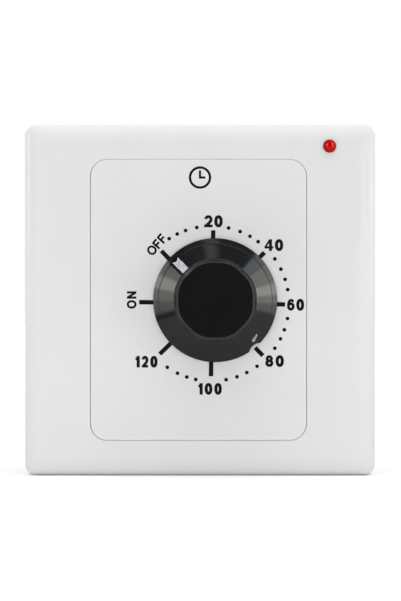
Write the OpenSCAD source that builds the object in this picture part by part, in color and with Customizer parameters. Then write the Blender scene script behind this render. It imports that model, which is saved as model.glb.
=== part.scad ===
// Wall switch with a spring wound run-back timer: clip-on frame, dial panel, skirted knob and clockwork.
// The modules draw in the face frame: x right, y up, z towards the viewer, z = 0 on the wall.

/* [Frame] */
// width and height of the square frame
plate_w = 86; // [86:0.5:90]
// distance from the wall to the front face
plate_depth = 9; // [9:0.1:10]
// plan radius of the frame's corners
corner_r = 3.2; // [3.1:0.1:5]
// radius of the rounded front edge
edge_r = 3; // [2:0.1:3]
// wall thickness of the frame
shell = 2; // [1.6:0.1:2]
// gap between the frame's rear rim and the wall
rim_lift = 0.6; // [0.3:0.1:1]

/* [Dial field] */
// width of the raised dial field
field_w = 52.4; // [52:0.1:53]
// height of the raised dial field
field_h = 68.3; // [60:0.1:70]
// plan radius of the field's corners
field_r = 4; // [3:0.1:5]
// seam between the field and the frame's window
seam = 0.3; // [0.2:0.05:0.5]
// thickness of the field's roof
roof_t = 2; // [1.8:0.1:2.2]
// thickness of the mounting flange
flange_t = 3; // [2.6:0.1:3.2]

/* [Wall fixing] */
// distance between the two wall screws
screw_pitch = 60.3; // [60:0.1:60.6]
// width of the slotted screw holes
slot_w = 4.2; // [4:0.1:4.5]
// length of the slotted screw holes
slot_len = 6; // [5:0.1:6.2]

/* [Knob] */
// radius of the skirt
skirt_r = 15; // [14.6:0.1:16]
// height of the knob
knob_h = 15; // [14:0.5:18]
// radius of the grip at its foot
grip_r = 9.8; // [9.6:0.1:10.2]
// number of flutes round the grip
flutes = 8; // [6:1:10]
// depth of a flute
flute_depth = 0.6; // [0.4:0.05:0.7]
// air between the skirt and the dial field
knob_gap = 0.5; // [0.4:0.1:1]

/* [Movement] */
// thickness of the two movement plates
mplate_t = 1.2; // [1:0.1:1.4]
// clear distance between the movement plates
plate_gap = 14; // [14:0.5:18]
// radius of the arbor in its front bush
shaft_r = 3; // [2.8:0.1:3.1]
// radial running clearance of the pivots and bushes
run_gap = 0.03; // [0.02:0.005:0.05]
// clearance of pieces that are pressed or set together
set_gap = 0.02; // [0.01:0.005:0.03]
// turns of the mainspring
spring_turns = 6; // [4:1:6]
// thickness of the mainspring strip
spring_t = 0.4; // [0.3:0.05:0.5]

/* [Switch] */
// thickness of the insulating deck
deck_t = 2; // [1.6:0.1:2.4]
// radius of the switch cam
cam_r = 7; // [6:0.1:7.2]
// height of the cam's lobe
lobe_h = 1.4; // [1:0.1:1.6]
// radius of the wire holes in the terminals
wire_r = 1.6; // [1.4:0.1:1.8]

/* [Lamp] */
// radius of the lamp's lens
lamp_r = 1.6; // [1.5:0.05:1.65]
// how far the lens stands out of the frame
lamp_out = 1; // [0.6:0.1:1.4]

/* [Hidden] */
$fn = 64;
eps = 0.01;
field_at = [-0.5, 0.17];
shaft_at = [3.7, 0];
lamp_inset = [11.3, 5.3];
lamp_at = [plate_w / 2, plate_w / 2] - lamp_inset;
window_w = field_w + 2 * seam;
window_h = field_h + 2 * seam;
field_wall = 2.2;
pocket_w = field_w - 2 * field_wall;
pocket_h = field_h - 2 * field_wall;
flange_w = plate_w - 2 * shell - 2;
tab_x = flange_w / 2 - 3;
tab_y = plate_w / 2 - 19;
tab_t = 1.6;
tab_len = 6;
tab_gap = 0.1;
head_relief_r = 4.2;
skirt_z = plate_depth + knob_gap;
knob_top = skirt_z + knob_h;
rim_z = skirt_z + 0.9;
cone_low = [skirt_r - 1.3, rim_z + 0.6];
cone_high = [grip_r + 0.8, rim_z + 3.5];
cone_tilt = atan2(cone_high[1] - cone_low[1], cone_low[0] - cone_high[0]);
grip_z = cone_high[1] + 0.9;
cap_t = 0.8;
cap_z = knob_top - cap_t;
grip_top_r = grip_r - 0.7;
flute_r = 10;
flute_fade = 0.3;
flute_tilt = atan2(grip_r - grip_top_r - flute_fade, cap_z - grip_z);
hub_r = shaft_r + 2;
bore_top = knob_top - 3;
flat_at = shaft_r - 0.7;
pointer_dir = 135;
mark_w = 1.9;
mark_gap = 0.25;
mark_depth = 0.45;
mark_start = [grip_r + 0.3, cone_high[1] + 0.5 * tan(cone_tilt)];
mark_len = (cone_low[0] + 0.1 - mark_start[0]) / cos(cone_tilt);
notch_r = 2.8;
notch_depth = 0.65;

// levels of the movement, counted from the rear face of its front plate
front_z = plate_depth - roof_t - mplate_t;
rear_z = front_z - plate_gap;
deck_z = rear_z - mplate_t;
switch_z = deck_z - deck_t;
plate_air = 1;
mplate_w = pocket_w - 2 * plate_air;
mplate_h = 46;
pillar_r = 2;
pillar_in = 3;
pillar_x = [field_at[0] - mplate_w / 2 + pillar_in, field_at[0] + mplate_w / 2 - pillar_in];
pillar_y = mplate_h / 2 - pillar_in;
spigot_r = 1.2;
nut_r = 2.5;
nut_t = 1.6;
arbor_r = 2.5;
tail_r = 2;
bush_wall = 1;
bush_flange_t = 0.6;
stop_top = front_z - 0.75;
stop_low = front_z - 1.4;
stop_pin_r = 0.9;
stop_pin_at = 5.05;
stop_half = 12;
collet_r = 3.4;
spring_top = front_z - 1.7;
spring_low = front_z - 5.3;
spring_pitch = 1.6;
spring_in = collet_r + set_gap;
spring_end = 20;
spring_out = spring_in + spring_turns * spring_pitch;
post_r = 1.1;
post_at = spring_out + spring_t + 0.05 + post_r;
eye_r = post_r + 0.4;
clutch_top = front_z - 5.55;
clutch_low = front_z - 6.35;
great_top = front_z - 6.4;
great_low = front_z - 7.4;
dish_low = front_z - 8.2;
collar_low = front_z - 9.4;

// the wheel train: teeth, modules and places of the arbors
leaves = 8;
great_n = 80;
great_m = 0.36;
second_n = 72;
second_m = 0.3;
third_n = 64;
third_m = 0.26;
dir_ab = 225;
dir_bc = 120;
dir_cd = 75;
dir_de = 80;
staff_reach = 7.5;
at_a = shaft_at;
at_b = at_a + polar((great_n + leaves) * great_m / 2, dir_ab);
at_c = at_b + polar((second_n + leaves) * second_m / 2, dir_bc);
at_d = at_c + polar((third_n + leaves) * third_m / 2, dir_cd);
at_e = at_d + polar(staff_reach, dir_de);
axle_r = 0.8;
pivot_r = 0.45;
escape_n = 24;
escape_r = 5;
pin_reach = sqrt(staff_reach * staff_reach - escape_r * escape_r);
pin_half = asin(escape_r / staff_reach);
pin_r = 0.3;
balance_r = 6.2;
hair_in = 1 + set_gap;
hair_turns = 4;
hair_pitch = 0.65;
hair_t = 0.12;
hair_low = rear_z + 1.2;
hair_top = rear_z + 1.8;
stud_r = 0.5;
stud_at = hair_in + hair_turns * hair_pitch + hair_t + stud_r;

// the switch on the rear deck
cam_top = switch_z - 0.6;
cam_low = switch_z - 3.6;
clip_low = cam_low - 0.7;
tail_end = clip_low - 0.7;
nose_r = 1.2;
leaf_t = 0.4;
leaf_x = shaft_at[0] + cam_r + lobe_h + 0.1 + nose_r;
leaf_low = switch_z - 3.9;
leaf_top = switch_z - 0.9;
contact_y = -10.5;
contact_gap = 1.6;
button_r = 1.2;
button_t = 0.8;
fixed_x = leaf_x - button_t - contact_gap - button_t;
strip_t = 0.8;
clamp_w = 6.5;
clamp_y = [-22, -15];
clamp_h = 8;
nut_air = [1.25, 0.55];
clamp_x = [pillar_x[0] + nut_r + nut_air[0] + clamp_w / 2, 3, pillar_x[1] - nut_r - nut_air[1] - clamp_w / 2];
wire_y = -17.6;
clamp_screw_r = 1.5;

// lamp, plug and leads
lamp_flange_r = lamp_r + 0.3;
lamp_seat = plate_depth - 3.8;
lamp_post_r = 2.9;
lead_r = 0.5;
leg_r = 0.25;
groove_dir = [-0.808, -0.589];
groove_side = [-0.589, 0.808];
groove_len = 15;
leg_half = 0.64;
leg_a = lamp_at - groove_side * leg_half;
leg_b = lamp_at + groove_side * leg_half;
resistor_at = [-9, -12.4, switch_z - 1.3];

// a point in the plane from its radius and angle
function polar(r, a) = [r * cos(a), r * sin(a)];

// outline of a clock tooth as radius and angle pairs
function tooth(n, m, share, add, ded) = let (r = n * m / 2, h = share * 180 / n) [
    [r - ded * m, -h], [r, -h], [r + 0.55 * add * m, -0.7 * h], [r + add * m, -0.22 * h],
    [r + add * m, 0.22 * h], [r + 0.55 * add * m, 0.7 * h], [r, h], [r - ded * m, h]];

function wheel_points(n, m, share, add, ded) = let (t = tooth(n, m, share, add, ded))
    [for (i = [0:n - 1], p = t) polar(p[0], p[1] + i * 360 / n)];

// a strip wound as a flat spiral, out along its inner face and back along its outer face
function spiral_line(r, pitch, turns, steps, end) =
    [for (i = [0:turns * steps]) polar(r + pitch * i / steps, end - turns * 360 + 360 * i / steps)];

function spiral_points(r, pitch, turns, steps, end, t) = concat(spiral_line(r, pitch, turns, steps, end),
    [for (i = [turns * steps:-1:0]) spiral_line(r + t, pitch, turns, steps, end)[i]]);

// least gap between the outer face of one turn and the inner face of the next
function spiral_gap(inner, outer, steps) = min([for (i = [0:len(inner) - steps - 1],
    j = [-2:2]) if (i + steps + j < len(inner)) norm(inner[i + steps + j] - outer[i])]);

// a smooth route through its points, four steps from one to the next
function spline(p, q, r, s, t) = 0.5 * (2 * q + (r - p) * t + (2 * p - 5 * q + 4 * r - s) * t * t
    + (3 * q - p - 3 * r + s) * t * t * t);

function route(pts) = let (n = len(pts)) concat([for (i = [0:n - 2], k = [0:3])
    spline(pts[max(i - 1, 0)], pts[i], pts[i + 1], pts[min(i + 2, n - 1)], k / 4)], [pts[n - 1]]);

function along(pts, i) = let (d = pts[min(i + 1, len(pts) - 1)] - pts[max(i - 1, 0)]) d / norm(d);

function unit(v) = v / norm(v);

// the side direction of each ring, carried along the route without twist
function sides(pts, i, s) = let (d = along(pts, i), u = unit(s - d * (s * d)))
    i == len(pts) - 1 ? [u] : concat([u], sides(pts, i + 1, u));

function ring(p, d, u, r) = let (v = cross(d, u)) [for (k = [0:7]) p + r * (u * cos(k * 45) + v * sin(k * 45))];

function travel(pts, i = 0) = i > len(pts) - 2 ? 0 : norm(pts[i + 1] - pts[i]) + travel(pts, i + 1);

function lift(p, z) = [p[0], p[1], z];

// the lamp leads: through the groove, round the edge of the plates and down the window of the deck
function lamp_side(x, y, z) = lift(lamp_at + [x, y], z);

load_route = route([lift(leg_a + groove_dir * 0.3, 0.9), lift(leg_a + groove_dir * 4, 0.9),
    lift(leg_a + groove_dir * 9.6, 0.9), lamp_side(-11.1, -8.5, -0.6), lamp_side(-16.7, -10.7, -5),
    [8, 26.3, deck_z - 0.1], [0.5, 25.4, switch_z - 0.8], [-4.6, 21.5, switch_z - 1.2],
    [-5.8, 16, switch_z + 0.4], [-5.9, 10, deck_z - 0.8], [-6, 0, deck_z - 0.8], [-5.9, -4.6, switch_z + 0.6],
    [-5, -8, switch_z - 0.9], [-2.4, -11.4, switch_z - 1.3], [1.2, -13, switch_z - 1.35]]);
resistor_route = route([lift(leg_b + groove_dir * 0.3, 0.9), lift(leg_b + groove_dir * 4, 0.9),
    lift(leg_b + groove_dir * 9.6, 0.9), lamp_side(-11.9, -7.3, -0.6), lamp_side(-17.7, -9.1, -5),
    [7, 28, deck_z - 0.1], [-1, 26.6, switch_z - 0.8], [-6.6, 21.5, switch_z - 1.2],
    [-7.6, 16, switch_z + 0.4], [-7.7, 10, deck_z - 0.8], [-7.8, 0, deck_z - 0.8], [-7.7, -4, switch_z + 0.6],
    [-6.8, -7.6, switch_z - 0.9], [-5.2, -9.8, switch_z - 1.3], [-4.6, -11.05, switch_z - 1.3]]);
echo("lead lengths in mm", travel(load_route), travel(resistor_route));
echo("mainspring least gap in mm",
    spiral_gap(spiral_line(spring_in, spring_pitch, spring_turns, 24, spring_end),
    spiral_line(spring_in + spring_t, spring_pitch, spring_turns, 24, spring_end), 24));
echo("hairspring least gap in mm", spiral_gap(spiral_line(hair_in, hair_pitch, hair_turns, 20, 0),
    spiral_line(hair_in + hair_t, hair_pitch, hair_turns, 20, 0), 20));

// turns the face frame upright, its front towards -Y
module upright() {
    rotate([90, 0, 0]) children();
}

module rod(p, r, low, top) {
    translate([p[0], p[1], low]) cylinder(r = r, h = top - low);
}

module tube(p, r, bore, low, top) {
    difference() {
        rod(p, r, low, top);
        rod(p, bore, low - 1, top + 1);
    }
}

// block with rounded plan corners
module slab(c, w, h, r, low, top) {
    translate([c[0], c[1], low]) {
        translate([-w / 2 + r, -h / 2, 0]) cube([w - 2 * r, h, top - low]);
        translate([-w / 2, -h / 2 + r, 0]) cube([w, h - 2 * r, top - low]);
        for (x = [-1, 1], y = [-1, 1]) translate([x * (w / 2 - r), y * (h / 2 - r), 0])
            cylinder(r = r, h = top - low);
    }
}

module slot(c, len, w, low, top) {
    for (s = [-1, 1]) rod([c[0] + s * (len - w) / 2, c[1]], w / 2, low, top);
    translate([c[0] - (len - w) / 2, c[1] - w / 2, low]) cube([len - w, w, top - low]);
}

module wire(pts, r) {
    n = len(pts);
    u = sides(pts, 0, [0.2, 0.3, 1]);
    polyhedron([for (i = [0:n - 1], q = ring(pts[i], along(pts, i), u[i], r)) q],
        concat([[for (k = [0:7]) k]], [[for (k = [7:-1:0]) 8 * (n - 1) + k]],
        [for (i = [0:n - 2], k = [0:7]) [8 * i + k, 8 * i + 8 + k, 8 * i + (k + 1) % 8]],
        [for (i = [0:n - 2], k = [0:7]) [8 * i + (k + 1) % 8, 8 * i + 8 + k, 8 * i + 8 + (k + 1) % 8]]));
}

// frame edge seen along its length, from the corner's axis to the outside
module edge_profile() {
    difference() {
        translate([0, rim_lift]) square([corner_r, plate_depth - rim_lift]);
        difference() {
            translate([corner_r - edge_r, plate_depth - edge_r]) square([edge_r + 1, edge_r + 1]);
            translate([corner_r - edge_r, plate_depth - edge_r]) circle(r = edge_r);
        }
    }
}

module frame_block() {
    inner = plate_w / 2 - corner_r;
    translate([-inner, -inner, rim_lift]) cube([2 * inner, 2 * inner, plate_depth - rim_lift]);
    for (a = [0:90:270]) rotate([0, 0, a]) {
        translate([inner, inner, 0]) rotate([90, 0, 0]) linear_extrude(2 * inner) edge_profile();
        translate([inner, inner, 0]) rotate_extrude(angle = 90) edge_profile();
    }
}

module outer_frame() {
    sheet = plate_depth - shell;
    color("white") upright() difference() {
        union() {
            difference() {
                frame_block();
                slab([0, 0], plate_w - 2 * shell, plate_w - 2 * shell, corner_r - 1, -1, sheet);
            }
            for (x = [-1, 1], y = [-1, 1]) translate([x * tab_x - tab_t / 2, y * tab_y - tab_len / 2, rim_lift])
                cube([tab_t, tab_len, sheet + 0.5 - rim_lift]);
        }
        slab(field_at, window_w, window_h, field_r + seam, sheet - 1, plate_depth + 1);
        rod(lamp_at, lamp_r + 0.15, sheet - 1, plate_depth + 1);
    }
}

module base_panel() {
    color("white") upright() difference() {
        union() {
            slab([0, 0], flange_w, flange_w, 2, 0, flange_t);
            slab(field_at, field_w, field_h, field_r, 0, plate_depth);
            rod(lamp_at, lamp_post_r, 0, plate_depth - shell - 0.4);
        }
        slab(field_at, pocket_w, pocket_h, field_r - field_wall, -1, plate_depth - roof_t);
        for (s = [-1, 1]) {
            slot([s * screw_pitch / 2, 0], slot_len, slot_w, -1, flange_t + 1);
            rod([s * screw_pitch / 2, 0], head_relief_r, flange_t, plate_depth - roof_t - 0.6);
            rod(shaft_at + [0, s * 10.5], 1.6, 0, plate_depth + 1);
            translate([shaft_at[0], s * 10.5, plate_depth - 1.4]) cylinder(r1 = 1.6, r2 = 3.05, h = 1.45);
        }
        for (x = [-1, 1], y = [-1, 1]) translate([x * tab_x, y * tab_y, flange_t / 2])
            cube([tab_t + 2 * tab_gap, tab_len + 2 * tab_gap, flange_t + 2], center = true);
        rod(shaft_at, shaft_r + bush_wall + 0.3, 0, plate_depth + 1);
        rod(lamp_at, lamp_r + 0.05, 0, plate_depth);
        rod(lamp_at, lamp_flange_r + 0.05, -1, lamp_seat);
        translate(lift(lamp_at, -1)) rotate([0, 0, atan2(groove_dir[1], groove_dir[0])])
            translate([0, -1.5, 0]) cube([groove_len, 3, 2.8]);
    }
}

module led_lamp() {
    dome_z = plate_depth + lamp_out - lamp_r;
    color("red") upright() {
        rod(lamp_at, lamp_flange_r, lamp_seat - 1, lamp_seat);
        rod(lamp_at, lamp_r, lamp_seat - eps, dome_z);
        translate(lift(lamp_at, dome_z)) difference() {
            sphere(r = lamp_r);
            translate([-5, -5, -10]) cube(10);
        }
    }
}

module led_plug() {
    color("dimgray") upright() difference() {
        rod(lamp_at, lamp_flange_r + 0.03, 1.9, lamp_seat - 1);
        for (p = [leg_a, leg_b]) rod(p, leg_r + set_gap, 0, 9);
    }
}

module led_legs() {
    color("silver") upright() for (p = [leg_a, leg_b]) rod(p, leg_r, 0.45, lamp_seat - 1);
}

module lead_to_load() {
    color("firebrick") upright() wire(load_route, lead_r);
}

module lead_to_resistor() {
    color("royalblue") upright() wire(resistor_route, lead_r);
}

module led_resistor() {
    color("tan") upright() translate(resistor_at) rotate([0, 90, 0]) difference() {
        translate([0, 0, -3]) cylinder(r = 1.2, h = 6);
        translate([0, 0, 0]) rotate_extrude() translate([1.9, 0]) circle(r = 0.85);
    }
}

module resistor_wires() {
    color("silver") upright() {
        translate(resistor_at + [3, 0, 0]) rotate([0, 90, 0]) cylinder(r = 0.3, h = 1.4);
        translate(resistor_at + [4.4, 0, 0]) sphere(r = 0.3);
        translate(resistor_at + [4.4, 0, 0]) rotate([-90, 0, 0]) cylinder(r = 0.3, h = 1.2);
        translate(resistor_at - [4.5, 0, 0]) rotate([0, 90, 0]) cylinder(r = 0.3, h = 1.5);
        translate(resistor_at - [4.5, 0, 0]) sphere(r = 0.3);
        translate(resistor_at - [4.5, 0, 0]) rotate([90, 0, 0])
            cylinder(r = 0.3, h = resistor_at[1] - clamp_y[1]);
    }
}

module movement_screws() {
    color("silver") upright() for (s = [-1, 1]) translate([shaft_at[0], s * 10.5, 0]) difference() {
        union() {
            translate([0, 0, plate_depth - 1.4]) cylinder(r1 = 1.5, r2 = 2.95, h = 1.4);
            rod([0, 0], 1.5, front_z - 0.8, plate_depth - 1.35);
        }
        translate([-4, -0.4, plate_depth - 0.7]) cube([8, 0.8, 2]);
    }
}

// holes that both movement plates share
module arbor_holes(low, top) {
    for (p = [at_b, at_c, at_d, at_e]) rod(p, pivot_r + run_gap, low, top);
    for (x = pillar_x, y = [-pillar_y, pillar_y]) rod([x, y], spigot_r + set_gap, low, top);
}

module front_plate() {
    low = front_z;
    top = front_z + mplate_t;
    color("silver") upright() difference() {
        slab([field_at[0], 0], mplate_w, mplate_h, 2, low, top);
        arbor_holes(low - 1, top + 1);
        rod(shaft_at, shaft_r + bush_wall + set_gap, low - 1, top + 1);
        for (s = [-1, 1]) rod(shaft_at + [0, s * 10.5], 1.5 + set_gap, low - 1, top + 1);
        rod(shaft_at + polar(post_at, spring_end), post_r - 0.3 + set_gap, low - 1, top + 1);
        rod(shaft_at + [0, stop_pin_at], stop_pin_r - 0.3 + set_gap, low - 1, top + 1);
    }
}

module rear_plate() {
    low = rear_z - mplate_t;
    color("silver") upright() difference() {
        slab([field_at[0], 0], mplate_w, mplate_h, 2, low, rear_z);
        arbor_holes(low - 1, rear_z + 1);
        rod(shaft_at, tail_r + bush_wall + set_gap, low - 1, rear_z + 1);
        rod(at_e + polar(stud_at, 0), stud_r - 0.15 + set_gap, low - 1, rear_z + 1);
        for (p = [[-17.2, 13], [-18, 6.6]]) rod(p, 2.4, low - 1, rear_z + 1);
        for (p = [[-16, -7.5], [-13, -15.5]]) rod(p, 2.6, low - 1, rear_z + 1);
    }
}

module pillars() {
    color("goldenrod") upright() for (x = pillar_x, y = [-pillar_y, pillar_y]) {
        rod([x, y], pillar_r, rear_z, front_z);
        rod([x, y], spigot_r, switch_z - nut_t - 0.4, rear_z + eps);
        rod([x, y], spigot_r, front_z - eps, front_z + mplate_t);
    }
}

module pillar_nuts() {
    color("silver") upright() for (x = pillar_x, y = [-pillar_y, pillar_y]) difference() {
        translate([x, y, switch_z - nut_t]) cylinder(r = nut_r, h = nut_t, $fn = 6);
        rod([x, y], spigot_r + set_gap, switch_z - 9, switch_z + 1);
    }
}

module front_bush() {
    color("goldenrod") upright() difference() {
        union() {
            rod(shaft_at, shaft_r + bush_wall, front_z - eps, plate_depth - 0.3);
            rod(shaft_at, shaft_r + bush_wall + 0.8, front_z - bush_flange_t, front_z);
        }
        rod(shaft_at, shaft_r + run_gap, 0, plate_depth + 9);
        rod(shaft_at + [0, stop_pin_at], stop_pin_r + 0.1, front_z - 9, front_z);
    }
}

module rear_bush() {
    color("goldenrod") upright() difference() {
        union() {
            rod(shaft_at, tail_r + bush_wall, rear_z - mplate_t, rear_z + eps);
            rod(shaft_at, tail_r + bush_wall + 0.8, rear_z, rear_z + bush_flange_t);
        }
        rod(shaft_at, tail_r + run_gap, rear_z - 9, rear_z + 9);
    }
}

module stop_pin() {
    p = shaft_at + [0, stop_pin_at];
    color("silver") upright() {
        rod(p, stop_pin_r, stop_low, front_z);
        rod(p, stop_pin_r - 0.3, front_z - eps, front_z + mplate_t);
    }
}

module spring_post() {
    p = shaft_at + polar(post_at, spring_end);
    color("silver") upright() {
        rod(p, post_r, spring_low - 0.2, front_z);
        rod(p, post_r - 0.3, front_z - eps, front_z + mplate_t);
    }
}

module mainspring() {
    h = spring_top - spring_low;
    color("steelblue") upright() difference() {
        union() {
            translate(lift(shaft_at, spring_low)) linear_extrude(h)
                polygon(spiral_points(spring_in, spring_pitch, spring_turns, 24, spring_end, spring_t));
            rod(shaft_at + polar(post_at, spring_end), eye_r, spring_low, spring_top);
        }
        rod(shaft_at + polar(post_at, spring_end), post_r + set_gap, spring_low - 1, spring_top + 1);
    }
}

module hairspring() {
    color("steelblue") upright() translate(lift(at_e, hair_low)) linear_extrude(hair_top - hair_low)
        polygon(spiral_points(hair_in, hair_pitch, hair_turns, 20, 0, hair_t));
}

module hairspring_stud() {
    p = at_e + polar(stud_at, 0);
    color("goldenrod") upright() {
        rod(p, stud_r - set_gap, rear_z, hair_top + 0.2);
        rod(p, stud_r - 0.15, rear_z - mplate_t, rear_z + eps);
    }
}

module contact_deck() {
    color("saddlebrown") upright() difference() {
        slab([field_at[0], 0], mplate_w, mplate_h, 2, switch_z, deck_z);
        slab([-12.4, 5], 14.4, 26, 1.5, switch_z - 1, deck_z + 1);
        slab([-6.9, 5], 4.8, 30, 1, switch_z - 1, deck_z + 1);
        rod(shaft_at, tail_r + bush_wall + 0.3, switch_z - 1, deck_z + 1);
        for (x = pillar_x, y = [-pillar_y, pillar_y]) rod([x, y], spigot_r + set_gap, switch_z - 1, deck_z + 1);
    }
}

// foot, upright and the link down to the line terminal, bent from one strip
module line_bracket() {
    x = leaf_x + leaf_t;
    low = switch_z - strip_t;
    color("goldenrod") upright() difference() {
        union() {
            translate([x, 12.6, leaf_low - 0.6]) cube([strip_t, 7, switch_z - leaf_low + 0.6]);
            translate([x, 12.6, low]) cube([4, 4.2, strip_t]);
            translate([x + 0.9, clamp_y[1], low]) cube([2, 13.2 - clamp_y[1], strip_t]);
        }
        for (y = [15, 18]) translate([x - 1, y, (leaf_low + leaf_top) / 2]) rotate([0, 90, 0])
            cylinder(r = 0.6, h = 4);
    }
}

module moving_leaf() {
    zc = (leaf_low + leaf_top) / 2;
    color("darkgoldenrod") upright() difference() {
        union() {
            translate([leaf_x, contact_y - 1.6, leaf_low])
                cube([leaf_t, 21.2 - contact_y, leaf_top - leaf_low]);
            intersection() {
                rod([leaf_x, 0], nose_r, leaf_low, leaf_top);
                translate([leaf_x - 5, -5, leaf_low]) cube([5 + leaf_t / 2, 10, 9]);
            }
        }
        for (y = [15, 18]) translate([leaf_x - 1, y, zc]) rotate([0, 90, 0]) cylinder(r = 0.6, h = 4);
        translate([leaf_x - 1, contact_y, zc]) rotate([0, 90, 0]) cylinder(r = 0.6, h = 4);
    }
}

module leaf_rivets() {
    zc = (leaf_low + leaf_top) / 2;
    color("silver") upright() for (y = [15, 18]) translate([leaf_x, y, zc]) rotate([0, 90, 0]) {
        translate([0, 0, -0.5]) cylinder(r = 1, h = 0.5);
        translate([0, 0, -eps]) cylinder(r = 0.6 - set_gap, h = leaf_t + strip_t + 2 * eps);
        translate([0, 0, leaf_t + strip_t]) cylinder(r = 1, h = 0.5);
    }
}

// upright that carries the fixed contact, with its foot against the load terminal
module load_bracket() {
    x = fixed_x - strip_t;
    low = switch_z - strip_t;
    zc = (leaf_low + leaf_top) / 2;
    color("goldenrod") upright() difference() {
        union() {
            translate([x, clamp_y[1], leaf_low - 0.6])
                cube([strip_t, contact_y + 1.8 - clamp_y[1], switch_z - leaf_low + 0.6]);
            translate([0.6, clamp_y[1], low]) cube([x + strip_t - 0.6, 3.4, strip_t]);
        }
        translate([x - 1, contact_y, zc]) rotate([0, 90, 0]) cylinder(r = 0.6, h = 4);
    }
}

// riveted contact buttons, one on the leaf and one on the upright
module contact_buttons() {
    zc = (leaf_low + leaf_top) / 2;
    color("gainsboro") upright() {
        translate([leaf_x - button_t, contact_y, zc]) rotate([0, 90, 0]) cylinder(r = button_r, h = button_t);
        translate([leaf_x - eps, contact_y, zc]) rotate([0, 90, 0])
            cylinder(r = 0.6 - set_gap, h = leaf_t + 0.2);
        translate([fixed_x, contact_y, zc]) rotate([0, 90, 0]) cylinder(r = button_r, h = button_t);
        translate([fixed_x - strip_t - 0.2, contact_y, zc]) rotate([0, 90, 0])
            cylinder(r = 0.6 - set_gap, h = strip_t + 0.2 + eps);
    }
}

module terminal_clamps() {
    color("goldenrod") upright() for (x = clamp_x) difference() {
        translate([x - clamp_w / 2, clamp_y[0], switch_z - clamp_h])
            cube([clamp_w, clamp_y[1] - clamp_y[0], clamp_h]);
        rod([x, wire_y], wire_r, switch_z - clamp_h - 1, switch_z - 1);
        translate([x, wire_y, switch_z - clamp_h / 2]) rotate([90, 0, 0])
            cylinder(r = clamp_screw_r + set_gap, h = 9);
    }
}

module terminal_screws() {
    tip = wire_y - wire_r - 0.1;
    color("silver") upright() for (x = clamp_x) translate([x, 0, switch_z - clamp_h / 2]) difference() {
        union() {
            translate([0, tip, 0]) rotate([90, 0, 0]) cylinder(r = clamp_screw_r, h = tip - clamp_y[0] + 1.6);
            translate([0, clamp_y[0] - 1.2, 0]) rotate([90, 0, 0]) cylinder(r = 2.5, h = 1.7);
        }
        translate([-4, clamp_y[0] - 4, -0.35]) cube([8, 1.9, 0.7]);
    }
}

// cutters of the shallow flutes, which fade towards the top of the grip
module flute_cuts() {
    for (i = [0:flutes - 1]) rotate([0, 0, pointer_dir + i * 360 / flutes])
        translate([grip_r + flute_r - flute_depth, 0, grip_z]) rotate([0, -flute_tilt, 0])
        translate([0, 0, -0.6]) cylinder(r = flute_r, h = knob_h);
}

// block along the slope of the skirt, sunk into it from the pointer's inner end
module on_slope(start, len, w, low, top) {
    rotate([0, 0, pointer_dir]) translate([mark_start[0], 0, mark_start[1]]) rotate([0, cone_tilt, 0])
        translate([start, -w / 2, low]) cube([len, w, top - low]);
}

module knob() {
    color("black") upright() translate(shaft_at) difference() {
        rotate_extrude() polygon([[0, skirt_z], [skirt_r, skirt_z], [skirt_r, rim_z],
            [skirt_r - 0.3, rim_z + 0.35], cone_low, cone_high, [grip_r + 0.25, cone_high[1] + 0.35],
            [grip_r, grip_z], [grip_top_r, cap_z], [0, cap_z]]);
        flute_cuts();
        tube([0, 0], skirt_r - 2, hub_r, skirt_z - 1, skirt_z + 1.2);
        rod([0, 0], shaft_r + set_gap, skirt_z - 1, bore_top);
        on_slope(0, mark_len + 0.3, mark_w + 2 * mark_gap, -mark_depth, 3);
        rotate([0, 0, pointer_dir + 180]) translate([skirt_r - notch_depth + notch_r, 0, skirt_z - 1])
            cylinder(r = notch_r, h = 5);
    }
}

module knob_cap() {
    edge = grip_top_r - 0.1;
    color("dimgray") upright() translate(shaft_at) difference() {
        rotate_extrude() polygon([[0, cap_z], [edge, cap_z], [edge, knob_top - 0.4], [edge - 0.35, knob_top],
            [0, knob_top]]);
        flute_cuts();
    }
}

module pointer_inlay() {
    color("white") upright() translate(shaft_at) on_slope(0.1, mark_len - 0.1, mark_w, -mark_depth, -0.05);
}

// spring strip between the flat of the arbor and the bore of the knob
module knob_spring() {
    color("silver") upright() translate(shaft_at) rotate([0, 0, pointer_dir + 180])
        translate([flat_at + set_gap, -0.9, skirt_z + 3]) cube([0.5, 1.8, 7]);
}

module main_arbor() {
    color("silver") upright() difference() {
        union() {
            rod(shaft_at, shaft_r, front_z - bush_flange_t - 0.1, bore_top - 0.3);
            rod(shaft_at, arbor_r, rear_z + bush_flange_t + 0.1, front_z - bush_flange_t);
            rod(shaft_at, tail_r, cam_low, rear_z + bush_flange_t + 0.2);
            rod(shaft_at, tail_r - 0.4, clip_low - 0.1, cam_low + eps);
            rod(shaft_at, tail_r, tail_end, clip_low - 0.05);
        }
        translate(shaft_at) rotate([0, 0, pointer_dir + 180]) translate([flat_at, -9, skirt_z + 2])
            cube([9, 18, 30]);
    }
}

// finger that meets the stop pin at both ends of the knob's travel
module stop_finger() {
    color("silver") upright() difference() {
        union() {
            rod(shaft_at, arbor_r + 1.2, stop_low, stop_top);
            translate(lift(shaft_at, stop_low)) rotate([0, 0, 22.5]) linear_extrude(stop_top - stop_low)
                polygon([[0, 0], polar(6.2, -stop_half), polar(6.2, stop_half)]);
        }
        rod(shaft_at, arbor_r + set_gap, stop_low - 1, stop_top + 1);
    }
}

module spring_collet() {
    color("goldenrod") upright() tube(shaft_at, collet_r, arbor_r + set_gap, clutch_top, spring_top + 0.1);
}

module clutch_plate() {
    color("silver") upright() tube(shaft_at, 5, arbor_r + set_gap, clutch_low, clutch_top);
}

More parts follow.
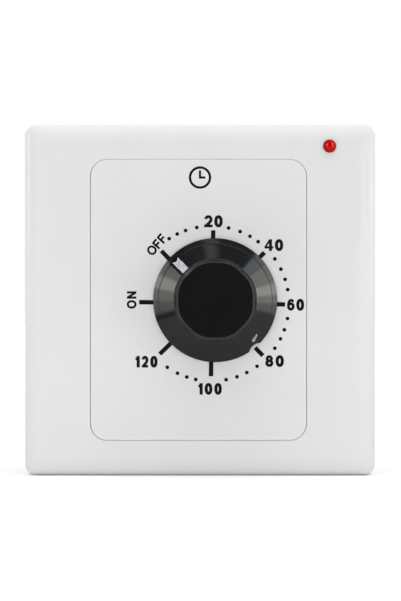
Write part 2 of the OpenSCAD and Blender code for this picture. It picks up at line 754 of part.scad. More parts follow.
// dished washer, its inner edge on the collar and its outer edge on the great wheel
module clutch_spring() {
    inner = arbor_r + set_gap;
    top = great_low - 0.05;
    color("steelblue") upright() translate(shaft_at) rotate_extrude()
        polygon([[inner, dish_low], [4.6, top - 0.3], [4.6, top], [inner, dish_low + 0.3]]);
}

module arbor_collar() {
    color("goldenrod") upright() tube(shaft_at, 4, arbor_r + set_gap, collar_low, dish_low);
}

module switch_cam() {
    color("ivory") upright() difference() {
        union() {
            rod(shaft_at, cam_r, cam_low, cam_top);
            rod(shaft_at, tail_r + 1.5, cam_top - eps, switch_z - 0.3);
            translate(lift(shaft_at, cam_low)) linear_extrude(cam_top - cam_low) polygon([[0, 0],
                polar(cam_r, -24), polar(cam_r + lobe_h, -5), polar(cam_r + lobe_h, 5), polar(cam_r, 24)]);
        }
        rod(shaft_at, tail_r + set_gap, cam_low - 1, switch_z + 1);
    }
}

module cam_clip() {
    color("silver") upright() difference() {
        tube(shaft_at, tail_r + 1.4, tail_r - 0.4 + set_gap, clip_low, cam_low);
        translate([shaft_at[0] - 1.3, shaft_at[1] - 9, clip_low - 1]) cube([2.6, 9, 3]);
    }
}

// toothed disc with a bore and windows between its arms
module toothed(p, n, m, phase, low, top, bore, hub, arms) {
    rim = n * m / 2 - 1.1 * m - 1.3;
    translate(lift(p, low)) rotate([0, 0, phase]) difference() {
        linear_extrude(top - low) polygon(wheel_points(n, m, 0.44, 1, 1.1));
        translate([0, 0, -1]) cylinder(r = bore, h = 9);
        difference() {
            translate([0, 0, -1]) cylinder(r = rim, h = 9);
            translate([0, 0, -2]) cylinder(r = hub, h = 12);
            for (a = [0:360 / arms:359]) rotate([0, 0, a]) translate([0, -0.7, -2]) cube([rim + 0.5, 1.4, 12]);
        }
    }
}

// steel arbor with its two pivots and the leaves of its pinion
module axle(p, m, phase, low, top, collar) {
    rod(p, axle_r, rear_z + 0.25, front_z - 0.25);
    rod(p, pivot_r, rear_z - mplate_t, front_z + mplate_t);
    rod(p, 1.6, collar[0], collar[1]);
    translate(lift(p, low)) rotate([0, 0, phase]) linear_extrude(top - low)
        polygon(wheel_points(leaves, m, 0.38, 0.65, 1.45));
}

module great_wheel() {
    color("goldenrod") upright()
        toothed(at_a, great_n, great_m, dir_ab, great_low, great_top, arbor_r + 0.05, 6, 4);
}

module second_arbor() {
    color("silver") upright() axle(at_b, great_m, dir_ab + 180 + 180 / leaves, front_z - 8, front_z - 5.9,
        [front_z - 10.2, front_z - 9.6]);
}

module second_wheel() {
    color("goldenrod") upright()
        toothed(at_b, second_n, second_m, dir_bc, front_z - 9.6, front_z - 8.8, axle_r + set_gap, 2.8, 4);
}

module third_arbor() {
    color("silver") upright() axle(at_c, second_m, dir_bc + 180 + 180 / leaves, front_z - 10.2, front_z - 8.4,
        [front_z - 12.1, front_z - 11.5]);
}

module third_wheel() {
    color("goldenrod") upright()
        toothed(at_c, third_n, third_m, dir_cd, front_z - 11.5, front_z - 10.8, axle_r + set_gap, 2.6, 4);
}

module escape_arbor() {
    color("silver") upright() axle(at_d, third_m, dir_cd + 180 + 180 / leaves, front_z - 12, front_z - 10.4,
        [front_z - 9.5, front_z - 8.9]);
}

module escape_wheel() {
    step = 360 / escape_n;
    color("goldenrod") upright() translate(lift(at_d, front_z - 8.9)) difference() {
        linear_extrude(0.5) polygon([for (i = [0:escape_n - 1], q = [[escape_r - 1.1, 0], [escape_r, 0.55],
            [escape_r, 0.72], [escape_r - 1.1, 0.8]]) polar(q[0], (i + q[1]) * step)]);
        translate([0, 0, -1]) cylinder(r = axle_r + set_gap, h = 9);
        for (a = [0:72:288]) translate(lift(polar(2.4, a), -1)) cylinder(r = 0.8, h = 9);
    }
}

module balance_staff() {
    color("silver") upright() {
        rod(at_e, axle_r, rear_z + 0.25, front_z - 0.25);
        rod(at_e, pivot_r, rear_z - mplate_t, front_z + mplate_t);
        rod(at_e, 1, hair_low - 0.2, hair_top + 0.2);
    }
}

module balance_wheel() {
    color("goldenrod") upright() translate(lift(at_e, front_z - 3.8)) difference() {
        cylinder(r = balance_r, h = 1.2);
        translate([0, 0, -1]) cylinder(r = axle_r + set_gap, h = 9);
        difference() {
            translate([0, 0, -1]) cylinder(r = balance_r - 1, h = 9);
            translate([0, 0, -2]) cylinder(r = 1.8, h = 12);
            for (a = [20, 140, 260]) rotate([0, 0, a]) translate([0, -0.5, -2]) cube([balance_r - 0.5, 1, 12]);
        }
    }
}

module pallet_anchor() {
    color("silver") upright() translate(lift(at_e, front_z - 10.3)) difference() {
        union() {
            cylinder(r = 1.8, h = 0.6);
            for (s = [-1, 1]) rotate([0, 0, dir_de + 180 + s * pin_half]) {
                translate([0, -0.6, 0]) cube([pin_reach, 1.2, 0.6]);
                translate([pin_reach, 0, 0]) cylinder(r = 0.75, h = 0.6);
            }
        }
        translate([0, 0, -1]) cylinder(r = axle_r + set_gap, h = 9);
        for (s = [-1, 1]) translate(lift(polar(pin_reach, dir_de + 180 + s * pin_half), -1))
            cylinder(r = pin_r + set_gap, h = 3);
    }
}

module pallet_pins() {
    color("silver") upright() for (s = [-1, 1])
        rod(at_e + polar(pin_reach, dir_de + 180 + s * pin_half), pin_r, front_z - 10.3, front_z - 9.05);
}

outer_frame();
base_panel();
led_lamp();
led_plug();
led_legs();
lead_to_load();
lead_to_resistor();
led_resistor();
resistor_wires();
movement_screws();
front_plate();
rear_plate();
pillars();
pillar_nuts();
front_bush();
rear_bush();
stop_pin();
spring_post();
mainspring();
hairspring();
hairspring_stud();
contact_deck();
line_bracket();
moving_leaf();
leaf_rivets();
load_bracket();
contact_buttons();
terminal_clamps();
terminal_screws();
knob();
knob_cap();
pointer_inlay();
knob_spring();
main_arbor();
stop_finger();
spring_collet();
clutch_plate();
clutch_spring();
arbor_collar();
switch_cam();
cam_clip();
great_wheel();
second_arbor();
second_wheel();
third_arbor();
third_wheel();
escape_arbor();
escape_wheel();
balance_staff();
balance_wheel();
pallet_anchor();
pallet_pins();
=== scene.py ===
import math

import bmesh
import bpy
from mathutils import Matrix, Vector


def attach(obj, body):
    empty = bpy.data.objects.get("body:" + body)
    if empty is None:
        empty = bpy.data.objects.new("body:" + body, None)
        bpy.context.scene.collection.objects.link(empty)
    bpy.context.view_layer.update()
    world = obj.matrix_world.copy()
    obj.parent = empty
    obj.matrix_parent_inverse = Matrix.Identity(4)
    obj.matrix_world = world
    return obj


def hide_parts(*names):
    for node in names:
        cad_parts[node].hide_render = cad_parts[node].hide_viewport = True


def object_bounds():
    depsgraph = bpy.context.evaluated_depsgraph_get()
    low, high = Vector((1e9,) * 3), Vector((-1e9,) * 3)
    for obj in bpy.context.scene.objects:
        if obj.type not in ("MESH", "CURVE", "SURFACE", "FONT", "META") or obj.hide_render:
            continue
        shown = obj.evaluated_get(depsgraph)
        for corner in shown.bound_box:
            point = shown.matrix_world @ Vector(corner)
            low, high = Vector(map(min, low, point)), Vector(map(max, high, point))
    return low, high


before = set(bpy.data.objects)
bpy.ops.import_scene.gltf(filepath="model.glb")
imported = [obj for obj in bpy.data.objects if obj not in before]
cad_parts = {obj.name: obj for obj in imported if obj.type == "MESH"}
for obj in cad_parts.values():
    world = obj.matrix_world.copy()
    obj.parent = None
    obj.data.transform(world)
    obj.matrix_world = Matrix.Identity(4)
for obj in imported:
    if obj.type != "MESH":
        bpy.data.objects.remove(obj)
cad_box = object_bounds()


# Base panel: the white moulded panel that two screws hold on the wall box. Its raised dial field shows
# in the window of the frame, its flange takes the frame's tabs, and its hollow takes the movement.
# Sizes of the switch are millimetres on its face: x right, y up, z out from the wall.
MM = 0.001
PANEL_FRONT = 9.0
FLANGE = 80.0
FLANGE_THICK = 3.0
FLANGE_CORNER = 2.0
FLANGE_EDGE = 0.4
BOSS_LOW = 1.0
FIELD_MIDDLE = (-0.375, 0.07)
FIELD_SIZE = (52.81, 68.77)
FIELD_CORNER = 4.2
FIELD_EDGE = 0.3
FIELD_WALL = 2.45
FIELD_ROOF = 2.0
POCKET_CORNER = 1.8
WALL_SCREW = 30.15
WALL_SLOT = (6.0, 4.2)
WALL_HEAD = 4.2
WALL_HEAD_TOP = PANEL_FRONT - 2.6
MOVEMENT_SCREW = 10.5
SCREW_SINK = [(0, 0), (1.6, 0), (1.6, 7.6), (3.05, 9.05), (3.05, 10), (0, 10)]
TAB_PLACE = (37.0, 24.0)
TAB_SLOT = (1.8, 6.2)
SHAFT = (3.7, 0.0)
SHAFT_HOLE = 4.3
SHAFT_HOLE_LOW = 5.0
LAMP = (31.7, 37.7)
LAMP_SOCKET = 2.9
LAMP_SOCKET_TOP = PANEL_FRONT - 2.4
LAMP_BORE = 1.65
LAMP_BORE_REACH = (0.5, 8.0)
LAMP_SEAT = PANEL_FRONT - 3.8
LAMP_SEAT_BORE = 1.95
LEAD_GROOVE = (15.0, 3.0)
LEAD_GROOVE_TOP = 1.8
LEAD_GROOVE_WAY = (-0.808, -0.589)
CUT = 1.0  # reach of a cutter past what it cuts
HAIR = 0.001  # left between two round corners, so that they don't meet
WELD = 1e-6  # in metres: nearer points are one
CORNER_STEPS = 12
EDGE_STEPS = 8
PEG_STEPS = 48
FRONTAL = -0.99  # the normal's y, at most, of a face that looks to the front


class Shade:
    """A socket of a material's node tree; arithmetic on it adds Math nodes."""

    def __init__(self, tree, socket=None):
        self.tree = tree
        self.socket = socket

    def node(self, kind, settings=None, sockets=None, out=0):
        """Adds any node: its settings first, then the values or links of its sockets."""
        made = self.tree.nodes.new(kind)
        for name, value in (settings or {}).items():
            if name == "stops":
                stops = made.color_ramp.elements
                while len(stops) < len(value):
                    stops.new(1.0)
                for stop, (position, colour) in zip(stops, value):
                    stop.position = position
                    stop.color = colour
            elif name == "interpolation":
                made.color_ramp.interpolation = value
            else:
                setattr(made, name, value)
        for name, value in (sockets or {}).items():
            if isinstance(value, Shade):
                self.tree.links.new(value.socket, made.inputs[name])
            else:
                made.inputs[name].default_value = value
        return Shade(self.tree, made.outputs[out])

    def maths(self, operation, first, second):
        """Math node on two sockets or numbers."""
        return self.node("ShaderNodeMath", {"operation": operation}, {0: first, 1: second})

    def __add__(self, other):
        return self.maths("ADD", self, other)

    def __sub__(self, other):
        return self.maths("SUBTRACT", self, other)

    def __rsub__(self, other):
        return self.maths("SUBTRACT", other, self)

    def __mul__(self, other):
        return self.maths("MULTIPLY", self, other)

    def __truediv__(self, other):
        return self.maths("DIVIDE", self, other)

    def __gt__(self, other):
        return self.maths("GREATER_THAN", self, other)

    def __lt__(self, other):
        return self.maths("LESS_THAN", self, other)

    def vectors(self, operation, other=(0, 0, 0), out="Vector"):
        """Vector Math node on this socket and, where the operation takes one, a second vector."""
        return self.node("ShaderNodeVectorMath", {"operation": operation}, {0: self, 1: other}, out)

    def part(self, axis):
        """One part of this vector: X, Y or Z."""
        return self.node("ShaderNodeSeparateXYZ", None, {"Vector": self}, axis)

    def ranged(self, low, high, first, last):
        """This socket between low and high, laid over the range from first to last and kept inside it."""
        sockets = {"Value": self, "From Min": low, "From Max": high, "To Min": first, "To Max": last}
        return self.node("ShaderNodeMapRange", None, sockets)

    def noise(self, scale, detail=2.0, rough=0.5):
        """Cloudy noise over the surface, where this socket is the place on it."""
        sockets = {"Vector": self, "Scale": scale, "Detail": detail, "Roughness": rough}
        return self.node("ShaderNodeTexNoise", None, sockets)

    def stretched(self, scale):
        """The place on the surface, stretched along the axes."""
        return self.node("ShaderNodeMapping", None, {"Vector": self, "Scale": scale})

    def colours(self, first, second):
        """Colour between two, where this socket is the share of the second."""
        share, colour_a, colour_b, mixed = 0, 6, 7, 2
        sockets = {share: self, colour_a: first, colour_b: second}
        return self.node("ShaderNodeMix", {"data_type": "RGBA"}, sockets, mixed)

    def relief(self, strength, depth):
        """Normal of a surface whose fine relief is this socket."""
        sockets = {"Strength": strength, "Distance": depth * MM, "Height": self}
        return self.node("ShaderNodeBump", None, sockets)


def new_material(name, **constants):
    """A material, its shader with the constant values set on it, and the place on the surface."""
    material = bpy.data.materials.new(name)
    material.use_nodes = True
    shader = material.node_tree.nodes["Principled BSDF"]
    for socket, value in constants.items():
        shader.inputs[socket.replace("_", " ")].default_value = value
    place = Shade(material.node_tree).node("ShaderNodeTexCoord", out="Object")
    return material, shader, place


def feed(shader, **shades):
    """Links what varies over the surface to the shader."""
    for socket, shade in shades.items():
        shade.tree.links.new(shade.socket, shader.inputs[socket.replace("_", " ")])


def tint(colour, share):
    """The colour made lighter or darker."""
    return tuple(min(1.0, part * share) for part in colour) + (1.0,)


def moulded_plastic(name, colour, rough, skin, **constants):
    """Moulded plastic: a faint cloud in the colour, uneven gloss and the fine skin of the mould."""
    material, shader, place = new_material(name, **constants)
    cloud = place.noise(scale=60.0, detail=3.0)
    grain = place.noise(scale=2400.0)
    feed(
        shader,
        Base_Color=cloud.colours(tint(colour, 0.97), tint(colour, 1.03)),
        Roughness=(cloud - 0.5) * 0.1 + rough,
        Normal=grain.relief(skin, depth=0.02),
    )
    return material


def face_point(x, y, z):
    """Point in metres from millimetres on the face: x right, y up, z out from the wall."""
    return Vector((x, -z, y)) * MM


def select(piece, kind, test):
    """Selects the vertices, edges or faces of a piece in edit mode that pass a test."""
    bpy.ops.mesh.select_mode(type=kind)
    bpy.ops.mesh.select_all(action="DESELECT")
    mesh = bmesh.from_edit_mesh(piece.data)
    mesh.normal_update()
    for item in {"VERT": mesh.verts, "EDGE": mesh.edges, "FACE": mesh.faces}[kind]:
        item.select_set(test(item))
    bmesh.update_edit_mesh(piece.data)


def faces_front(face):
    """Whether a face looks straight to the front."""
    return face.normal.y < FRONTAL


def only(piece):
    """Makes a piece the only selected one and the active one."""
    bpy.ops.object.select_all(action="DESELECT")
    piece.select_set(True)
    bpy.context.view_layer.objects.active = piece


def block(name, middle, size, low, top, corner=0.0, edge=0.0):
    """Box on the face from low to top, with round corners seen from the front and a round front edge."""
    deep = (top - low) * MM
    bpy.ops.object.select_all(action="DESELECT")
    bpy.ops.mesh.primitive_cube_add(size=1.0, location=face_point(*middle, (low + top) / 2))
    piece = bpy.context.object
    piece.name = name
    piece.scale = (size[0] * MM, deep, size[1] * MM)
    bpy.ops.object.transform_apply()
    bpy.ops.object.mode_set(mode="EDIT")
    if corner:
        select(piece, "EDGE", lambda e: abs(e.verts[0].co.y - e.verts[1].co.y) > deep / 2)
        bpy.ops.mesh.bevel(offset=corner * MM, segments=CORNER_STEPS, affect="EDGES")
    if edge:
        select(piece, "FACE", faces_front)
        bpy.ops.mesh.region_to_loop()
        bpy.ops.mesh.bevel(offset=edge * MM, segments=EDGE_STEPS, affect="EDGES")
    bpy.ops.object.mode_set(mode="OBJECT")
    return piece


def turned(name, middle, profile, steps):
    """Round piece on the face: a chain of radius and height pairs spun about the axis through middle."""
    bpy.ops.object.select_all(action="DESELECT")
    bpy.ops.mesh.primitive_plane_add(size=MM)
    piece = bpy.context.object
    piece.name = name
    bpy.ops.object.mode_set(mode="EDIT")
    bpy.ops.mesh.select_mode(type="VERT")
    bpy.ops.mesh.select_all(action="SELECT")
    bpy.ops.mesh.merge(type="CENTER")
    bpy.ops.transform.translate(value=face_point(middle[0] + profile[0][0], middle[1], profile[0][1]))
    for (r, z), (next_r, next_z) in zip(profile, profile[1:]):
        step = {"value": face_point(next_r - r, 0, next_z - z)}
        bpy.ops.mesh.extrude_region_move(TRANSFORM_OT_translate=step)
    bpy.ops.mesh.select_all(action="SELECT")
    bpy.ops.mesh.spin(steps=steps, angle=math.tau, center=face_point(*middle, 0), axis=(0, 1, 0))
    bpy.ops.mesh.select_all(action="SELECT")
    bpy.ops.mesh.remove_doubles(threshold=WELD)
    bpy.ops.mesh.normals_make_consistent(inside=False)
    bpy.ops.object.mode_set(mode="OBJECT")
    return piece


def peg(middle, radius, low, top, steps=PEG_STEPS):
    """Plain round bar, used as a cutter or a boss."""
    return turned("peg", middle, [(0, low), (radius, low), (radius, top), (0, top)], steps)


def combine(piece, other, how="DIFFERENCE"):
    """Cuts another solid out of a piece, or joins it to the piece, and removes the other."""
    only(piece)
    solid = piece.modifiers.new("solid", "BOOLEAN")
    solid.operation = how
    solid.object = other
    solid.solver = "EXACT"
    bpy.ops.object.modifier_apply(modifier=solid.name)
    bpy.data.objects.remove(other)


def smooth(piece, angle=32):
    """Smooth shading up to an angle, with flat faces kept flat."""
    only(piece)
    bpy.ops.object.shade_smooth_by_angle(angle=math.radians(angle))
    weigh = piece.modifiers.new("weigh", "WEIGHTED_NORMAL")
    weigh.keep_sharp = True
    bpy.ops.object.modifier_apply(modifier=weigh.name)


def fit(piece, body, slot, material, *nodes):
    """Gives a finished piece its material and body, and hides the CAD nodes that it stands for. The slot is
    not used.
    """
    piece.data.materials.clear()
    piece.data.materials.append(material)
    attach(piece, body)
    if nodes:
        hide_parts(*nodes)


white_plastic = moulded_plastic(
    "white_plastic", (0.80, 0.797, 0.80), rough=0.36, skin=0.05, Specular_IOR_Level=0.3
)

flange_size = (FLANGE, FLANGE)
base_panel = block(
    "base_panel_moulding", (0, 0), flange_size, 0, FLANGE_THICK, FLANGE_CORNER, FLANGE_EDGE
)
field = block("field", FIELD_MIDDLE, FIELD_SIZE, BOSS_LOW, PANEL_FRONT, FIELD_CORNER, FIELD_EDGE)
combine(base_panel, field, "UNION")
combine(base_panel, peg(LAMP, LAMP_SOCKET, BOSS_LOW, LAMP_SOCKET_TOP), "UNION")
pocket_size = (FIELD_SIZE[0] - 2 * FIELD_WALL, FIELD_SIZE[1] - 2 * FIELD_WALL)
pocket = block("pocket", FIELD_MIDDLE, pocket_size, -CUT, PANEL_FRONT - FIELD_ROOF, POCKET_CORNER)
combine(base_panel, pocket)
for side in (-1, 1):
    screw_at = (side * WALL_SCREW, 0)
    round_end = WALL_SLOT[1] / 2 - HAIR
    combine(base_panel, block("wall_slot", screw_at, WALL_SLOT, -CUT, FLANGE_THICK + CUT, round_end))
    combine(base_panel, peg(screw_at, WALL_HEAD, FLANGE_THICK, WALL_HEAD_TOP))
    sink_at = (SHAFT[0], side * MOVEMENT_SCREW)
    combine(base_panel, turned("sink", sink_at, SCREW_SINK, PEG_STEPS))
    for upper in (-1, 1):
        tab_at = (side * TAB_PLACE[0], upper * TAB_PLACE[1])
        combine(base_panel, block("tab_slot", tab_at, TAB_SLOT, -CUT, FLANGE_THICK + CUT))
combine(base_panel, peg(SHAFT, SHAFT_HOLE, SHAFT_HOLE_LOW, PANEL_FRONT + CUT))
combine(base_panel, peg(LAMP, LAMP_BORE, *LAMP_BORE_REACH))
combine(base_panel, peg(LAMP, LAMP_SEAT_BORE, -CUT, LAMP_SEAT))
lead_groove = block("lead_groove", (LEAD_GROOVE[0] / 2, 0), LEAD_GROOVE, -CUT, LEAD_GROOVE_TOP)
lead_groove.rotation_euler = (0, -math.atan2(LEAD_GROOVE_WAY[1], LEAD_GROOVE_WAY[0]), 0)
lead_groove.location = face_point(*LAMP, 0)
only(lead_groove)
bpy.ops.object.transform_apply()
combine(base_panel, lead_groove)
smooth(base_panel)
fit(base_panel, "base", "white_shell", white_plastic, "base_panel")


# Movement plates, pillars and bushes: two rolled steel plates held apart by four turned brass pillars
# with hexagon nuts. Two countersunk screws under the knob hold the front plate to the panel.
STREAK_ROUGH = 0.16
TARNISH_ROUGH = 0.12


def metal(name, colour, rough, grain, lines=(1, 1, 1)):
    """Bare metal: fine lines left by rolling or turning, and slight tarnish in patches."""
    material, shader, place = new_material(name, Metallic=1.0)
    tarnish = place.noise(scale=160.0, detail=3.0, rough=0.6)
    streaks = place.stretched(lines).noise(scale=1800.0, detail=3.0)
    lowest = rough - (STREAK_ROUGH + TARNISH_ROUGH) / 2
    feed(
        shader,
        Base_Color=tarnish.colours(tint(colour, 0.82), tint(colour, 1.08)),
        Roughness=streaks * STREAK_ROUGH + (tarnish * TARNISH_ROUGH + lowest),
        Normal=streaks.relief(grain, depth=0.02),
    )
    return material


def dress(material, *nodes):
    """Gives CAD nodes their material."""
    for node in nodes:
        for material_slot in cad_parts[node].material_slots:
            material_slot.material = material


rolled_steel = metal("rolled_steel", (0.60, 0.60, 0.61), rough=0.36, grain=0.12, lines=(0.06, 1, 1))
turned_steel = metal("turned_steel", (0.66, 0.66, 0.67), rough=0.26, grain=0.06)
brass = metal("brass", (0.83, 0.60, 0.25), rough=0.3, grain=0.08)
dress(rolled_steel, "front_plate", "rear_plate")
dress(turned_steel, "movement_screws", "pillar_nuts", "stop_pin", "spring_post")
dress(brass, "pillars", "front_bush", "rear_bush", "hairspring_stud")


# Wheel train: stamped brass wheels with four arms, pressed on steel arbors with cut pinions. The
# great wheel is driven through the friction clutch on the main arbor.
dress(brass, "great_wheel", "second_wheel", "third_wheel", "escape_wheel")
dress(brass, "spring_collet", "arbor_collar")
dress(turned_steel, "main_arbor", "second_arbor", "third_arbor", "escape_arbor")
dress(turned_steel, "stop_finger", "clutch_plate")


# Balance: brass rim on a steel staff with a pin-pallet anchor, returned by a flat hairspring. The
# mainspring, clutch washer, cam clip and the knob's grip spring are blued spring steel.
blued_steel = metal("blued_steel", (0.26, 0.30, 0.40), rough=0.24, grain=0.06)
dress(brass, "balance_wheel")
dress(turned_steel, "balance_staff", "pallet_anchor", "pallet_pins")
dress(blued_steel, "mainspring", "hairspring", "clutch_spring", "knob_spring", "cam_clip")


# Switch deck: a punched phenolic board under the rear plate. It carries the bent brass brackets, the
# bronze contact leaf with its silver buttons, and the three terminals; a nylon cam lifts the leaf.
def phenolic_board():
    """Paper-filled phenolic board: dark brown, with flecks and faint fibre lines."""
    material, shader, place = new_material("phenolic_board", IOR=1.55)
    flecks = place.noise(scale=900.0, detail=4.0, rough=0.65)
    fibres = place.stretched((0.15, 1, 1)).noise(scale=1200.0, detail=3.0)
    shade = flecks * 0.6 + fibres * 0.4
    feed(
        shader,
        Base_Color=shade.colours((0.055, 0.020, 0.008, 1), (0.17, 0.070, 0.026, 1)),
        Roughness=fibres * 0.15 + 0.34,
        Normal=shade.relief(strength=0.1, depth=0.03),
    )
    return material


bronze = metal("bronze", (0.74, 0.47, 0.25), rough=0.3, grain=0.08, lines=(1, 1, 0.06))
contact_silver = metal("contact_silver", (0.86, 0.85, 0.82), rough=0.28, grain=0.06)
nylon = moulded_plastic("nylon", (0.76, 0.72, 0.60), rough=0.42, skin=0.08, Subsurface_Weight=0.1)
dress(phenolic_board(), "contact_deck")
dress(brass, "line_bracket", "load_bracket", "terminal_clamps")
dress(turned_steel, "terminal_screws", "leaf_rivets")
dress(bronze, "moving_leaf")
dress(contact_silver, "contact_buttons")
dress(nylon, "switch_cam")


# Lamp: a red 3 mm lamp pushed from behind into the panel's post until its flange seats, kept there by
# a rubber plug. Two insulated leads and a series resistor feed it from the terminals.
# The darker middle and the two painted glints of the lens are ovals: middle, from the lamp's own, then half
# width and height.
LAMP_RADIUS = 1.6
LAMP_PROUD = 1.0
LAMP_RISE = LAMP_PROUD / LAMP_RADIUS
LAMP_FLANGE = 1.9
LAMP_FLANGE_LOW = LAMP_SEAT - 1.0
LAMP_STEPS = 64
LAMP_DOME_STEPS = 16
LAMP_RIM_SHADE = 0.34
LAMP_DARK_MIDDLE = (0.1, 0.22, 0.4, 0.7)
LAMP_GLINTS = ((-0.66, 0.32, 0.3, 0.46), (0.68, 0.34, 0.3, 0.75))


def arc(middle_r, middle_z, radius, start, end, steps):
    """Points of an arc in a turned profile, with its angles in degrees from the radius."""
    turns = [math.radians(start + (end - start) * i / steps) for i in range(steps + 1)]
    return [(middle_r + radius * math.cos(t), middle_z + radius * math.sin(t)) for t in turns]


def spot(place, origin, oval_spot):
    """Share of an oval spot on the face: 1 in its middle, 0 at its edge and outside it."""
    x, y, half_wide, half_high = oval_spot
    aside = place.vectors("SUBTRACT", face_point(origin[0] + x, origin[1] + y, 0))
    scaled = aside.vectors("MULTIPLY", (1 / half_wide / MM, 0, 1 / half_high / MM))
    return scaled.vectors("LENGTH", out="Value").ranged(0.0, 1.0, 1.0, 0.0)


def lamp_lens():
    """Clear red casting with painted shade: deep red at its rim and over a darker middle, paler at two
    painted glints above the middle.
    """
    material, shader, place = new_material("lamp_lens", IOR=1.5, Specular_IOR_Level=0.12)
    cloud = place.noise(scale=700.0)
    # Painted shade: the red darkens towards the rim of the lens.
    rim = spot(place, LAMP, (0, 0, LAMP_RADIUS, LAMP_RADIUS)).ranged(LAMP_RIM_SHADE, 0.0, 0.0, 1.0)
    deep = rim + spot(place, LAMP, LAMP_DARK_MIDDLE) * 0.8 + (cloud - 0.5) * 0.3
    red = deep.colours((0.60, 0.001, 0.001, 1), (0.22, 0.0, 0.0, 1))
    # Painted glints: two paler spots above the middle, where lamps would shine on the dome.
    for glint in LAMP_GLINTS:
        red = spot(place, LAMP, glint).colours(red, (0.90, 0.16, 0.13, 1))
    feed(shader, Base_Color=red, Roughness=cloud * 0.08 + 0.05)
    return material


lens_profile = [
    (0, LAMP_FLANGE_LOW), (LAMP_FLANGE, LAMP_FLANGE_LOW),
    (LAMP_FLANGE, LAMP_SEAT), (LAMP_RADIUS, LAMP_SEAT),
]
dome = arc(0, 0, LAMP_RADIUS, 0, 90, LAMP_DOME_STEPS)
lens_profile += [(r, PANEL_FRONT + z * LAMP_RISE) for r, z in dome[:-1]]
lens_profile.append((0, PANEL_FRONT + LAMP_PROUD))
lamp = turned("lamp_lens_casting", LAMP, lens_profile, LAMP_STEPS)
smooth(lamp, angle=40)
fit(lamp, "base", "red_lens", lamp_lens(), "led_lamp")
dress(moulded_plastic("rubber", (0.05, 0.05, 0.052), rough=0.6, skin=0.2), "led_plug")
dress(turned_steel, "led_legs", "resistor_wires")

LEAD = 0.5
LEAD_LEVEL = 0.9
LEG_SPREAD = 0.64
LEAD_REACH = (0.3, 4.0, 9.6)
LOAD_ROUTE = [
    (20.6, 29.2, -0.6), (15, 27, -5), (8, 26.3, -9.5), (0.5, 25.4, -12.2),
    (-4.6, 21.5, -12.6), (-5.8, 16, -11), (-5.9, 10, -10.2), (-6, 0, -10.2),
    (-5.9, -4.6, -10.8), (-5, -8, -12.3), (-2.4, -11.4, -12.7), (1.2, -13, -12.75),
]
RESISTOR_ROUTE = [
    (19.8, 30.4, -0.6), (14, 28.6, -5), (7, 28, -9.5), (-1, 26.6, -12.2),
    (-6.6, 21.5, -12.6), (-7.6, 16, -11), (-7.7, 10, -10.2), (-7.8, 0, -10.2),
    (-7.7, -4, -10.8), (-6.8, -7.6, -12.3), (-5.2, -9.8, -12.7), (-4.6, -11.05, -12.7),
]
ROUTE_STEPS = 10
TUBE_ROUND = 4
TUBE_SMOOTH = 50


def tube(name, points, radius, closed=False):
    """Round line through points on the face, closed at its ends."""
    path = bpy.data.curves.new(name, "CURVE")
    path.dimensions = "3D"
    path.bevel_depth = radius * MM
    path.bevel_resolution = TUBE_ROUND
    path.use_fill_caps = True
    spline = path.splines.new("POLY")
    spline.points.add(len(points) - 1)
    for knot, point in zip(spline.points, points):
        knot.co = (*face_point(*point), 1)
    spline.use_cyclic_u = closed
    line = bpy.data.objects.new(name, path)
    bpy.context.collection.objects.link(line)
    only(line)
    bpy.ops.object.convert(target="MESH")
    bpy.ops.object.shade_smooth_by_angle(angle=math.radians(TUBE_SMOOTH))
    return bpy.context.object


def through(points):
    """Smooth path through points, a Catmull-Rom curve: each piece is led by the points beside it."""
    knots = [Vector(p) for p in [points[0]] + points + [points[-1]]]
    path = []
    for before, start, end, after in zip(knots, knots[1:], knots[2:], knots[3:]):
        for i in range(ROUTE_STEPS):
            t = i / ROUTE_STEPS
            pull = (end - before) * t + (2 * before - 5 * start + 4 * end - after) * t * t
            path.append(start + (pull + (3 * start - before - 3 * end + after) * t ** 3) / 2)
    return path + [knots[-1]]


for name, colour, slot, leg_side, route, node in (
    ("lead_load", (0.45, 0.012, 0.010), "red_wire", -1, LOAD_ROUTE, "lead_to_load"),
    ("lead_resistor", (0.012, 0.05, 0.35), "blue_wire", 1, RESISTOR_ROUTE, "lead_to_resistor"),
):
    way_x, way_y = LEAD_GROOVE_WAY
    leg_x = LAMP[0] + leg_side * LEG_SPREAD * way_y
    leg_y = LAMP[1] - leg_side * LEG_SPREAD * way_x
    start = [(leg_x + way_x * reach, leg_y + way_y * reach, LEAD_LEVEL) for reach in LEAD_REACH]
    lead = tube(name, through(start + route), LEAD)
    insulation = moulded_plastic(name + "_insulation", colour, rough=0.4, skin=0.05)
    fit(lead, "base", slot, insulation, node)

TAN = (0.56, 0.42, 0.26, 1)
RESISTOR_RINGS = [
    (0.0, TAN), (0.16, (0.10, 0.03, 0.012, 1)),
    (0.24, TAN), (0.36, (0.006, 0.006, 0.006, 1)),
    (0.44, TAN), (0.54, (0.55, 0.34, 0.02, 1)),
    (0.62, TAN), (0.78, (0.50, 0.36, 0.10, 1)),
    (0.86, TAN),
]
RESISTOR = (-9.0, -12.4, -12.7)
RESISTOR_HALF = 3.0
RESISTOR_END = [
    (0, -RESISTOR_HALF), (0.55, -RESISTOR_HALF), (0.95, -2.92), (1.15, -2.7),
    (1.2, -2.35), (1.17, -1.9), (1.02, -1.5),
]
RESISTOR_WAIST = 1.0
RESISTOR_STEPS = 40


def resistor_coat():
    """Tan lacquer with painted rings."""
    material, shader, place = new_material("resistor_coat")
    share = (place.part("X") / MM + (RESISTOR_HALF - RESISTOR[0])) / (2 * RESISTOR_HALF)
    painted = {"interpolation": "CONSTANT", "stops": RESISTOR_RINGS}
    rings = share.node("ShaderNodeValToRGB", painted, {"Fac": share})
    speck = place.noise(scale=1500.0)
    feed(
        shader,
        Base_Color=(speck * 0.25).colours(rings, (0.30, 0.22, 0.13, 1)),
        Roughness=speck * 0.15 + 0.25,
    )
    return material


